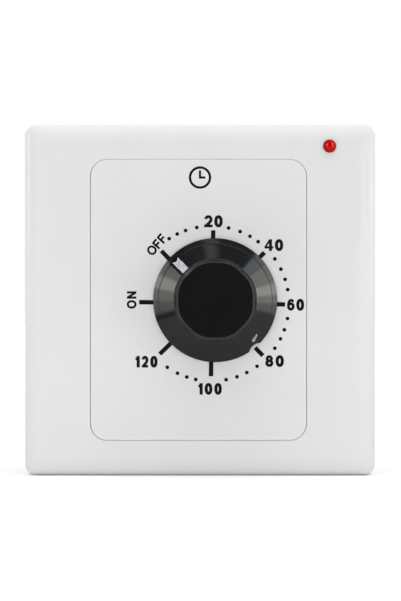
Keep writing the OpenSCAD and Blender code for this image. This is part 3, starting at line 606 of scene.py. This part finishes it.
other_end = [(r, -z) for r, z in reversed(RESISTOR_END)]
resistor_profile = RESISTOR_END + [(RESISTOR_WAIST, 0)] + other_end
resistor = turned("resistor_body", (0, 0), resistor_profile, RESISTOR_STEPS)
along_x = Matrix.Rotation(math.pi / 2, 4, "Z")
resistor.data.transform(Matrix.Translation(face_point(*RESISTOR)) @ along_x)
smooth(resistor, angle=50)
fit(resistor, "base", "resistor_body", resistor_coat(), "led_resistor")


# Frame: the white moulded bezel that clips over the panel. Its front edge and corners are rounded, its
# window leaves a fine seam round the dial field, and four tabs behind it enter the panel's flange.
PLATE = 86.0
PLATE_LOW = 0.6
PLATE_CORNER = 2.7
PLATE_EDGE_WIDE = 4.6
PLATE_EDGE_DEEP = 3.2
PLATE_EDGE_STEPS = 12
SHELL = 2.0
SHELL_CORNER = 2.2
SEAM = (0.12, 0.06)
WINDOW_CORNER = 4.3
WINDOW_LOW = 5.0
WINDOW_TOP = 11.0
FRAME_FRONT = PANEL_FRONT - 0.15
LAMP_HOLE = 1.63
TAB = (1.6, 6.0)
TAB_ROOT = 0.5

bezel = block("bezel", (0, 0), (PLATE, PLATE), PLATE_LOW, FRAME_FRONT - PLATE_EDGE_DEEP, PLATE_CORNER)
only(bezel)
bpy.ops.object.mode_set(mode="EDIT")
select(bezel, "FACE", faces_front)
level = 0.0
half = PLATE / 2
for step in range(1, PLATE_EDGE_STEPS + 1):
    turn = math.pi / 2 * step / PLATE_EDGE_STEPS
    rise = {"value": face_point(0, 0, PLATE_EDGE_DEEP * math.sin(turn) - level)}
    bpy.ops.mesh.extrude_region_move(TRANSFORM_OT_translate=rise)
    next_half = PLATE / 2 - PLATE_EDGE_WIDE * (1 - math.cos(turn))
    bpy.ops.transform.resize(value=(next_half / half, 1, next_half / half), center_override=(0, 0, 0))
    level = PLATE_EDGE_DEEP * math.sin(turn)
    half = next_half
bpy.ops.object.mode_set(mode="OBJECT")
inside = PLATE - 2 * SHELL
combine(bezel, block("inside", (0, 0), (inside, inside), -CUT, FRAME_FRONT - SHELL, SHELL_CORNER))
window_size = (FIELD_SIZE[0] + 2 * SEAM[0], FIELD_SIZE[1] + 2 * SEAM[1])
combine(bezel, block("window", FIELD_MIDDLE, window_size, WINDOW_LOW, WINDOW_TOP, WINDOW_CORNER))
combine(bezel, peg(LAMP, LAMP_HOLE, WINDOW_LOW, PANEL_FRONT, LAMP_STEPS))
for side in (-1, 1):
    for upper in (-1, 1):
        tab_at = (side * TAB_PLACE[0], upper * TAB_PLACE[1])
        tab = block("tab", tab_at, TAB, PLATE_LOW, FRAME_FRONT - SHELL + TAB_ROOT)
        combine(bezel, tab, "UNION")
smooth(bezel)
fit(bezel, "frame", "white_shell", white_plastic, "outer_frame")


# Dial print: black ink on the dial field. Ticks and numbers stand round the knob, with four dots to
# each step, ON and OFF at the upper left and a plain clock mark above.
DIAL = (2.96, -0.75)
DIAL_TURN = -0.9
TICKS = 8
TICK_TURN = 45
TICK_START = 13.4
TICK_SHORT = 7
TICK_SHORT_START = 15.1
TICK_END = 17.85
TICK_WIDE = 1.08
TICK_CORNER = 0.1
DOT = 0.47
DOT_EDGE = 0.04
DOT_STEPS = 24
DOT_CIRCLE = (2.8, -0.82)
DOT_CIRCLE_RADIUS = 18.95
DOT_TURNS = (
    (123.1, 116.2, 109.5, 100.9), (77.2, 68.3, 60.2, 53.0), (35.2, 26.4, 18.2, 10.4),
    (-11.1, -19.8, -27.1, -35.2), (-54.0, -62.9, -70.8, -79.1), (-101.7, -108.6, -116.0, -124.7),
)
CLOCK = (0.0, 30.0)
CLOCK_RADIUS = 2.45
CLOCK_STEPS = 64
CLOCK_RING = 0.6
CLOCK_HAND = 0.54
CLOCK_HANDS = ([(0, 1.75), (0, -0.27)], [(-0.27, 0), (1.3, 0)])
INK_THICK = 0.02
INK_LEVEL = PANEL_FRONT + 0.006
INK_LOW = PANEL_FRONT - 0.01
INK_TOP = PANEL_FRONT + 0.026
OVAL_STEPS = 28


def dial_ink():
    """Screen printed ink: dull black, a little uneven in cover."""
    material, shader, place = new_material("dial_ink", Specular_IOR_Level=0.12)
    cover = place.noise(scale=1500.0)
    feed(
        shader,
        Base_Color=cover.colours((0.002, 0.002, 0.002, 1), (0.006, 0.006, 0.006, 1)),
        Roughness=cover * 0.1 + 0.45,
    )
    return material


def turn_about(piece, middle, degrees):
    """Turns a piece on the face about a point, counterclockwise seen from the front."""
    centre = Matrix.Translation(face_point(*middle, 0))
    turn = Matrix.Rotation(-math.radians(degrees), 4, "Y")
    piece.data.transform(centre @ turn @ centre.inverted())


def join(name, parts):
    """Joins parts into one piece."""
    only(parts[0])
    for part in parts:
        part.select_set(True)
    bpy.ops.object.join()
    parts[0].name = name
    return parts[0]


def ink_stroke(points, middle, width, closed=False):
    """Printed stroke along points round a middle: a round line pressed flat on the dial."""
    line = tube("stroke", [(middle[0] + x, middle[1] + y, 0) for x, y in points], width / 2, closed)
    flat = Matrix.Diagonal((1, 2 * INK_THICK / width, 1, 1))
    line.data.transform(Matrix.Translation(face_point(0, 0, INK_LEVEL)) @ flat)
    return line


def oval(middle_x, middle_y, half_w, half_h, start=0, end=360, steps=OVAL_STEPS, square=0.86):
    """Points of an oval, or of a part of it, with slightly straightened sides."""
    points = []
    for i in range(steps + 1):
        turn = math.radians(start + (end - start) * i / steps)
        across = math.copysign(abs(math.cos(turn)) ** square, math.cos(turn))
        up = math.copysign(abs(math.sin(turn)) ** square, math.sin(turn))
        points.append((middle_x + half_w * across, middle_y + half_h * up))
    return points[:-1] if end - start == 360 else points


# Each figure is a list of strokes: its share of the weight and its path, in widths and heights of 1.
TWO_BOW = oval(0.5, 0.7, 0.5, 0.32, 172, -32, steps=14, square=1)
SIX_BOW = [(0, 0.3), (0.01, 0.52), (0.1, 0.79), (0.3, 0.96), (0.55, 1.02), (0.8, 0.97), (1.0, 0.82)]
GLYPHS = {
    "0": [(1, oval(0.5, 0.5, 0.5, 0.5))],
    "1": [(1, [(1, -0.16), (1, 1.16)]),
          (0.82, [(-0.3, 0.74), (0.25, 0.82), (0.6, 0.94), (0.85, 1.12)])],
    "2": [(0.92, TWO_BOW + [(0.66, 0.33), (0.26, 0.1), (0.1, -0.04)]),
          (0.84, [(-0.3, -0.02), (1.28, -0.02)])],
    "4": [(0.94, [(0.8, -0.16), (0.8, 1.16)]),
          (0.58, [(0.7, 1.1), (-0.22, 0.27)]),
          (0.68, [(-0.36, 0.24), (1.36, 0.24)])],
    "6": [(0.9, oval(0.5, 0.31, 0.5, 0.31, square=1)),
          (0.9, SIX_BOW)],
    "8": [(0.9, oval(0.5, 0.77, 0.42, 0.25, square=1)),
          (0.95, oval(0.5, 0.26, 0.5, 0.27, square=1))],
    "F": [(1, [(0, -0.12), (0, 1.1)]),
          (1, [(0, 1), (1.1, 1)]),
          (1, [(0, 0.5), (1.0, 0.5)])],
    "N": [(1, [(0, -0.12), (0, 1.12)]),
          (1, [(0, 1.05), (1, -0.05)]),
          (1, [(1, -0.12), (1, 1.12)])],
    "O": [(1, oval(0.5, 0.5, 0.5, 0.5, square=0.95))],
}


def dial_word(text, middle, widths, gap, height, weight, degrees=0.0):
    """Number or word on the dial: the widths of its figures, the gap between them and its height."""
    strokes = []
    left = -(sum(widths) + gap * (len(text) - 1)) / 2
    for figure, width in zip(text, widths):
        for share, path in GLYPHS[figure]:
            shaped = []
            for x, y in path:
                shaped_x = left + weight / 2 + x * (width - weight)
                shaped_y = (y - 0.5) * (height - weight)
                shaped.append((shaped_x, shaped_y))
            whole_oval = len(path) == OVAL_STEPS
            strokes.append(ink_stroke(shaped, middle, weight * share, whole_oval))
        left += width + gap
    word = join("word", strokes)
    turn_about(word, middle, degrees)
    return word


ink = dial_ink()
ticks = []
for number in range(TICKS):
    tick_start = TICK_SHORT_START if number == TICK_SHORT else TICK_START
    tick_middle = (DIAL[0] + (tick_start + TICK_END) / 2, DIAL[1])
    tick_size = (TICK_END - tick_start, TICK_WIDE)
    tick = block("tick", tick_middle, tick_size, INK_LOW, INK_TOP, TICK_CORNER)
    turn_about(tick, DIAL, TICK_TURN * number + DIAL_TURN)
    ticks.append(tick)
fit(join("dial_ticks", ticks), "base", "black_matt", ink)

dots = []
dot_start = (DOT_CIRCLE[0] + DOT_CIRCLE_RADIUS, DOT_CIRCLE[1])
dot_profile = [(0, INK_LOW), (DOT, INK_LOW), (DOT, INK_LEVEL), (DOT - DOT_EDGE, INK_TOP), (0, INK_TOP)]
for step_turns in DOT_TURNS:
    for turn in step_turns:
        dot = turned("dot", dot_start, dot_profile, DOT_STEPS)
        turn_about(dot, DOT_CIRCLE, turn)
        dots.append(dot)
fit(join("dial_dots", dots), "base", "black_matt", ink)

words = [
    dial_word("20", (3.27, 19.3), (2.12, 2.08), 0.38, 2.98, 0.8),
    dial_word("40", (18.09, 13.47), (2.06, 2.05), 0.42, 2.96, 0.8),
    dial_word("60", (23.35, -1.12), (1.95, 1.93), 0.34, 2.96, 0.78),
    dial_word("80", (18.22, -14.88), (2.05, 2.05), 0.5, 2.9, 0.8),
    dial_word("100", (2.38, -21.68), (1.25, 1.9, 1.85), 0.46, 2.9, 0.78),
    dial_word("120", (-13.17, -15.04), (1.25, 1.75, 1.8), 0.4, 2.9, 0.78),
    dial_word("OFF", (-10.59, 13.57), (2.25, 1.65, 1.65), 0.12, 2.4, 0.52, 49),
    dial_word("ON", (-16.72, 0.05), (2.1, 1.8), 0.34, 2.4, 0.54, 90),
]
fit(join("dial_numbers", words), "base", "black_matt", ink)

clock_ring = oval(0, 0, CLOCK_RADIUS, CLOCK_RADIUS, steps=CLOCK_STEPS, square=1)
clock = [ink_stroke(clock_ring, CLOCK, CLOCK_RING, True)]
for hand in CLOCK_HANDS:
    clock.append(ink_stroke(hand, CLOCK, CLOCK_HAND))
fit(join("clock_mark", clock), "base", "black_matt", ink)


# Knob: black glossy moulding with a conical skirt and a grip with eight shallow flutes. It is pushed on
# the flat of the arbor; the notch in its rim lets a blade lift it off.
# The scuffs by the notch are ovals: middle, from the shaft, then half width and height.
KNOB_TOP = 24.5
KNOB_STEPS = 192
CAP_LOW = KNOB_TOP - 0.8
BORE = 3.02
BORE_TOP = 21.5
HUB = 5.0
HOLLOW_TOP = 10.4
HOLLOW_EDGE = (12.6, 13.2)
SKIRT_LOW = 9.5
SKIRT_RADIUS = 15.15
RIM_FOOT = 0.15
RIM_ROUND = 0.18
RIM_MIDDLE = 9.564
RIM_TURN = 46
RIM_STEPS = 4
RIM_LINE = (13.85, 0.2, 0.06, 0.035)
CONE_FOOT = 15.07
CONE_END = 10.254
CONE_TOP = (10.6, 13.9)
CONE_TILT = 43.1
CONE_STEPS = 11
FILLET_MIDDLE = (10.596, 14.588)
FILLET_RADIUS = 0.5
FILLET_TURNS = (226.9, 186.4)
FILLET_STEPS = 6
GRIP_LOW = 14.55
GRIP_FOOT = (10.1, 14.53)
GRIP_STEP = (0.094, 0.9)
GRIP_STEPS = 10
GRIP_TOP_RADIUS = 9.16
GRIP_LIP = ((0.06, 0.1), (0.14, 0.0))
POINTER_TURN = 135.0
FLUTES = 8
FLUTE_LOW = 14.1
FLUTE_DEPTH = 0.3
FLUTE_FADE = 0.06
FLUTE_FOOT = 3.0
FLUTE_RISE = 0.5
FLUTE_SHAPE = 1.4
FLUTE_CORE = 4.0
NOTCH_TURN = 310.0
NOTCH_RADIUS = 2.8
NOTCH_DEPTH = 0.72
NOTCH_REACH = (8.0, 14.0)
SCUFFS = ((9.35, -9.75, 0.5, 0.6), (9.7, -9.2, 0.34, 0.55), (10.05, -8.65, 0.28, 0.5))
GROOVE = (5.5, 3.0)
GROOVE_ASIDE = 0.15
GROOVE_DEPTH = 0.32
GROOVE_CUT = 2.0
GROOVE_CORNER = 0.4
GROOVE_OVER = 0.75


def flute(piece):
    """Draws the surface of the grip in by its flutes, which start at its foot and fade towards the top."""
    for vertex in piece.data.vertices:
        x = vertex.co.x / MM - SHAFT[0]
        y = vertex.co.z / MM - SHAFT[1]
        z = -vertex.co.y / MM
        radius = math.hypot(x, y)
        if radius < FLUTE_CORE or z < FLUTE_LOW:
            continue
        turn = math.atan2(y, x) - math.radians(POINTER_TURN)
        wave = 1 - abs(math.sin(FLUTES / 2 * turn)) ** FLUTE_SHAPE
        rise = min(1.0, (z - FLUTE_LOW) / FLUTE_RISE)
        depth = FLUTE_DEPTH - FLUTE_FADE * max(0.0, (z - CONE_TOP[1]) / (CAP_LOW - CONE_TOP[1]))
        inwards = depth * rise * wave * min(1.0, (radius - FLUTE_CORE) / FLUTE_CORE)
        vertex.co.x = (SHAFT[0] + x * (1 - inwards / radius)) * MM
        vertex.co.z = (SHAFT[1] + y * (1 - inwards / radius)) * MM
        foot = max(0.0, 1 - (z - FLUTE_LOW) / FLUTE_FOOT)
        vertex.co.y -= inwards * foot * math.tan(math.radians(CONE_TILT)) * MM


def gloss_black():
    """Black moulding with a polished skirt, a satin grip, smears, hairline scratches and pale scuffs."""
    material, shader, place = new_material("gloss_black", IOR=1.5, Specular_IOR_Level=0.26)
    smears = place.noise(scale=140.0, detail=3.0, rough=0.6)
    scratches = place.stretched((1, 0.2, 0.2)).noise(scale=2500.0)
    satin = (place.part("Y") < -GRIP_LOW * MM) * 0.3
    black = smears.colours((0.0016, 0.0016, 0.0024, 1), (0.003, 0.003, 0.0042, 1))
    for scuff in SCUFFS:
        worn = spot(place, SHAFT, scuff) * (smears + scratches)
        black = worn.colours(black, (0.62, 0.62, 0.64, 1))
    feed(
        shader,
        Base_Color=black,
        Roughness=smears * 0.1 + (scratches * 0.05 + 0.06) + satin,
        Normal=scratches.relief(strength=0.015, depth=0.01),
    )
    return material


def on_cone(piece, outwards):
    """Moves a piece from the middle of the face to the skirt, its x axis down the cone at the pointer."""
    cone_top = Matrix.Translation(face_point(CONE_TOP[0], 0, CONE_TOP[1]))
    slope = cone_top @ Matrix.Rotation(math.radians(CONE_TILT), 4, "Z")
    turn = Matrix.Rotation(-math.radians(POINTER_TURN), 4, "Y")
    shaft = Matrix.Translation(face_point(*SHAFT, 0))
    piece.data.transform(shaft @ turn @ slope @ Matrix.Translation(face_point(outwards, 0, 0)))


def down_cone(radius, deep=0.0):
    """Point of the skirt's profile on the cone at a radius, or deep under it."""
    return (radius, CONE_TOP[1] - (radius - CONE_TOP[0]) * math.tan(math.radians(CONE_TILT)) - deep)


under = [(0, BORE_TOP), (BORE, BORE_TOP), (BORE, SKIRT_LOW), (HUB, SKIRT_LOW), (HUB, HOLLOW_TOP)]
under += [(HOLLOW_EDGE[0], HOLLOW_TOP), (HOLLOW_EDGE[1], SKIRT_LOW), (SKIRT_RADIUS - RIM_FOOT, SKIRT_LOW)]
rim = arc(SKIRT_RADIUS - RIM_ROUND, RIM_MIDDLE, RIM_ROUND, 0, RIM_TURN, RIM_STEPS)
line_at, line_half, line_floor, line_deep = RIM_LINE
cone = [down_cone(CONE_FOOT), down_cone(line_at + line_half)]
cone += [down_cone(line_at + line_floor, line_deep), down_cone(line_at - line_floor, line_deep)]
for i in range(CONE_STEPS + 1):
    cone.append(down_cone(line_at - line_half + (CONE_END - line_at + line_half) * i / CONE_STEPS))
fillet = arc(*FILLET_MIDDLE, FILLET_RADIUS, *FILLET_TURNS, FILLET_STEPS)[1:]
grip = []
for i in range(1, GRIP_STEPS + 1):
    grip.append((GRIP_FOOT[0] - GRIP_STEP[0] * i, GRIP_FOOT[1] + GRIP_STEP[1] * i))
grip += [(GRIP_TOP_RADIUS - inwards, CAP_LOW - down) for inwards, down in GRIP_LIP]
grip.append((0, CAP_LOW))
knob = turned("knob_moulding", SHAFT, under + rim + cone + fillet + grip, KNOB_STEPS)
flute(knob)
notch_out = SKIRT_RADIUS - NOTCH_DEPTH + NOTCH_RADIUS
notch_at = (
    SHAFT[0] + notch_out * math.cos(math.radians(NOTCH_TURN)),
    SHAFT[1] + notch_out * math.sin(math.radians(NOTCH_TURN)),
)
combine(knob, peg(notch_at, NOTCH_RADIUS, *NOTCH_REACH))
groove = block("groove", (0, GROOVE_ASIDE), GROOVE, -GROOVE_DEPTH, GROOVE_CUT, GROOVE_CORNER)
on_cone(groove, GROOVE[0] / 2 - GROOVE_OVER)
combine(knob, groove)
smooth(knob, angle=35)
fit(knob, "knob", "black_gloss", gloss_black(), "knob")


# Pointer: white paint run into the groove of the skirt and dried there. It is a little lumpy and uneven
# in width, with a hollow outer end.
# Each wave of its width and the lumps on it have a size, a pace and a start.
POINTER = (5.15, 1.9)
POINTER_CORNER = 0.25
POINTER_EDGE = 0.12
POINTER_CUTS = 5
POINTER_OVER = 0.5
PAINT_ROOT = 0.1
PAINT_SUNK = 0.06
PAINT_TOP = 0.25
HOLLOW_DEPTH = 0.8
HOLLOW_HALF = 0.9
HOLLOW_SHAPE = 3
WIDTH_WAVES = ((0.05, 2.3, 0.7), (0.03, 5.9, 0.0))
LUMP = 0.03
LUMP_PACES = (3.1, 4)


def pointer_paint():
    """White paint laid on thick: greyish patches where it is thin."""
    material, shader, place = new_material("pointer_paint")
    patches = place.noise(scale=900.0, detail=3.0, rough=0.6)
    cover = (patches - 0.5) * 2.2 + 0.5
    feed(
        shader,
        Base_Color=cover.colours((0.30, 0.32, 0.34, 1), (0.84, 0.86, 0.89, 1)),
        Roughness=patches * 0.2 + 0.3,
        Normal=patches.relief(strength=0.3, depth=0.08),
    )
    return material


paint_low = -GROOVE_DEPTH - PAINT_ROOT
pointer = block("pointer_mark", (0, 0), POINTER, paint_low, -PAINT_SUNK, POINTER_CORNER, POINTER_EDGE)
only(pointer)
bpy.ops.object.mode_set(mode="EDIT")
bpy.ops.mesh.select_all(action="SELECT")
bpy.ops.mesh.subdivide(number_cuts=POINTER_CUTS)
bpy.ops.object.mode_set(mode="OBJECT")
for vertex in pointer.data.vertices:
    along = vertex.co.x / MM
    across = vertex.co.z / MM
    if along > 0:
        hollow = HOLLOW_DEPTH * math.cos(min(1.0, abs(across) / HOLLOW_HALF) * math.pi / 2)
        vertex.co.x -= hollow * (along / (POINTER[0] / 2)) ** HOLLOW_SHAPE * MM
    width = 1
    for size, pace, start in WIDTH_WAVES:
        width += size * math.sin(pace * along + start)
    vertex.co.z *= width
    if vertex.co.y < PAINT_TOP * MM:
        vertex.co.y += LUMP * math.sin(LUMP_PACES[0] * along + LUMP_PACES[1] * across) * MM
on_cone(pointer, POINTER[0] / 2 - POINTER_OVER)
smooth(pointer, angle=50)
fit(pointer, "knob", "white_mark", pointer_paint(), "pointer_inlay")


# Knob cap: a thin disc of matt black plastic with the same fluted outline as the grip. It is glued on the
# grip's top and closes the knob.
CAP_INSET = 0.02
CAP_ROUND = 0.18
CAP_ROUND_STEPS = 5
CAP_RINGS = 7


def matt_black():
    """Fine-grained black moulding without shine."""
    material, shader, place = new_material("matt_black", Specular_IOR_Level=0.08)
    grain = place.noise(scale=1900.0, detail=3.0)
    cloud = place.noise(scale=120.0)
    feed(
        shader,
        Base_Color=cloud.colours((0.003, 0.003, 0.003, 1), (0.005, 0.005, 0.005, 1)),
        Roughness=grain * 0.12 + 0.56,
        Normal=grain.relief(strength=0.08, depth=0.02),
    )
    return material


cap_edge = GRIP_TOP_RADIUS - CAP_INSET
cap_profile = [(0, CAP_LOW), (cap_edge, CAP_LOW)]
cap_profile += arc(cap_edge - CAP_ROUND, KNOB_TOP - CAP_ROUND, CAP_ROUND, 0, 90, CAP_ROUND_STEPS)
cap_profile += [(cap_edge - 1 - i, KNOB_TOP) for i in range(CAP_RINGS)]
cap_profile.append((0, KNOB_TOP))
cap = turned("knob_cap_disc", SHAFT, cap_profile, KNOB_STEPS)
flute(cap)
smooth(cap, angle=40)
fit(cap, "knob", "black_matt", matt_black(), "knob_cap")


# Studio: a pale floor on which the switch stands, a bright room, and a camera straight in front. Soft boxes
# light it from both sides and above. Strips and windows show only in gloss, box_top and card_low only
# light, and the floor's dark foot shows only in reflections. Sizes here are metres.
FLOOR = 8.0
FOOT_LEFT = (-0.150, -0.113)
FOOT_HALF = 0.08
FOOT_GREY = (0.25, 0.25, 0.25, 1)
GLOW_REACH = (0.2, 1.4)
GLOW = (0.15, 0.5)
ROOM_REACH = (-0.3, 0.5)
ROOM = (0.12, 1.0)
HAZE_REACH = (0.0, 1.0)
HAZE = (0.08, 1.15)


def ray(tree, kind):
    """1 for a ray of this kind: from the camera, off a glossy surface or through a clear one."""
    return Shade(tree).node("ShaderNodeLightPath", out=f"Is {kind} Ray")


bpy.ops.object.select_all(action="DESELECT")
bpy.ops.mesh.primitive_plane_add(size=FLOOR, location=(0, 0, cad_box[0][2]))
floor = bpy.context.object
floor.name = "floor"
paper, paper_shader, paper_place = new_material("floor_paper", Roughness=0.9, Emission_Strength=1.0)
mirrored = ray(paper.node_tree, "Glossy")
seen = ray(paper.node_tree, "Camera") + mirrored + ray(paper.node_tree, "Transmission")
glow = paper_place.vectors("LENGTH", out="Value").ranged(*GLOW_REACH, *GLOW)
fibre = paper_place.noise(scale=3.0).colours((0.91, 0.91, 0.91, 1), (0.93, 0.93, 0.93, 1))
aside = paper_place.part("X")
along = paper_place.part("Y")
foot_wide = (aside > FOOT_LEFT[0]) * (aside < FOOT_LEFT[1])
foot_long = (along > -FOOT_HALF) * (along < FOOT_HALF)
foot = foot_wide * foot_long * mirrored
feed(
    paper_shader,
    Base_Color=foot.colours(fibre, FOOT_GREY),
    Emission_Color=seen * glow * (1 - foot),
)
floor.data.materials.append(paper)

world = bpy.data.worlds.new("studio")
world.use_nodes = True
bpy.context.scene.world = world
sky = world.node_tree
camera_ray = ray(sky, "Camera")
shiny_ray = ray(sky, "Glossy") + ray(sky, "Transmission")
look = Shade(sky).node("ShaderNodeTexCoord", out="Generated")
room = look.part("Y").ranged(*ROOM_REACH, *ROOM)
haze = look.part("Z").ranged(*HAZE_REACH, *HAZE)
sky_level = camera_ray + (1 - camera_ray) * (shiny_ray * room + (1 - shiny_ray) * haze)
background = sky.nodes["Background"]
background.inputs["Color"].default_value = (1, 1, 1, 1)
sky.links.new(sky_level.socket, background.inputs["Strength"])

WARM = (1.0, 0.97, 0.92)
COOL = (0.78, 0.88, 1.0)
PLAIN = (1.0, 1.0, 1.0)
STRIP_DEPTH = -0.011
STRIP_WIDE = 0.038
STRIP_AIM = (0, STRIP_DEPTH, 0)


def soft_box(name, place, size, brightness, colour=PLAIN, aim=(0, 0, 0), lights=True, shines=True):
    """Rectangular soft box with a given brightness; one may only light, or only show in shiny surfaces."""
    bpy.ops.object.select_all(action="DESELECT")
    bpy.ops.object.light_add(type="AREA", location=place)
    lamp_box = bpy.context.object
    lamp_box.name = name
    lamp_box.data.shape = "RECTANGLE"
    lamp_box.data.size = size[0]
    lamp_box.data.size_y = size[1]
    lamp_box.data.color = colour
    lamp_box.data.energy = brightness * math.pi * size[0] * size[1]
    lamp_box.rotation_euler = (Vector(aim) - Vector(place)).to_track_quat("-Z", "Y").to_euler()
    lamp_box.visible_camera = False
    lamp_box.visible_diffuse = lights
    lamp_box.visible_glossy = shines


for name, side_at, low, top, brightness in (
    ("strip_right", 0.16, -0.037, 0.122, 2.2),
    ("strip_right_middle", 0.162, -0.008, 0.112, 2.9),
    ("strip_right_core", 0.164, 0.014, 0.046, 4.3),
    ("strip_left", -0.15, -0.0355, 0.129, 1.8),
    ("strip_left_middle", -0.152, -0.002, 0.124, 2.4),
    ("strip_left_core", -0.154, 0.032, 0.074, 4.2),
):
    level = (low + top) / 2
    strip_at = (side_at, STRIP_DEPTH, level)
    strip_size = (STRIP_WIDE, top - low)
    soft_box(name, strip_at, strip_size, brightness, WARM, aim=(0, STRIP_DEPTH, level), lights=False)
window_at = (0.16, STRIP_DEPTH, 0.145)
soft_box("strip_window", window_at, (STRIP_WIDE, 0.04), 4.0, COOL, aim=STRIP_AIM, lights=False)
soft_box("strip_top", (-0.02, -0.045, 0.5), (0.19, 0.06), 1.35, aim=(0, -0.012, 0), lights=False)
soft_box("window_high", (0.21, -0.095, 0.2), (0.05, 0.05), 12.0, COOL, aim=STRIP_AIM, lights=False)
soft_box("strip_edge", (0.66, -1.0, 0.0), (0.14, 0.5), 9.0, lights=False)
soft_box("box_above", (0.1, -0.6, 1.7), (2.4, 0.7), 1.5, aim=(0.1, 0, 0))
soft_box("box_top", (0, -0.03, 1.2), (1.2, 0.3), 1.1, shines=False)
soft_box("card_low", (0, -0.085, -0.038), (0.3, 0.02), 0.5, aim=(0, 0, -0.01), shines=False)
soft_box("box_front_left", (-0.62, -1.25, 0.0), (0.24, 0.8), 4.9)
soft_box("box_front_right", (0.95, -0.95, 0.0), (0.3, 0.8), 3.8)

PIXEL = 0.0002445
PICTURE_PIXELS = 601
LENS = 150.0
SENSOR = 36.0
CAMERA_ASIDE = 0.00012
CAMERA_UP = -0.00007
bpy.ops.object.camera_add(rotation=(math.pi / 2, 0, 0))
camera = bpy.context.object
camera.data.lens = LENS
camera.data.sensor_width = SENSOR
away = PIXEL * PICTURE_PIXELS * LENS / SENSOR
camera.location = (CAMERA_ASIDE, -away - PANEL_FRONT * MM, CAMERA_UP)
bpy.context.scene.camera = camera
bpy.context.scene.view_settings.view_transform = "Standard"
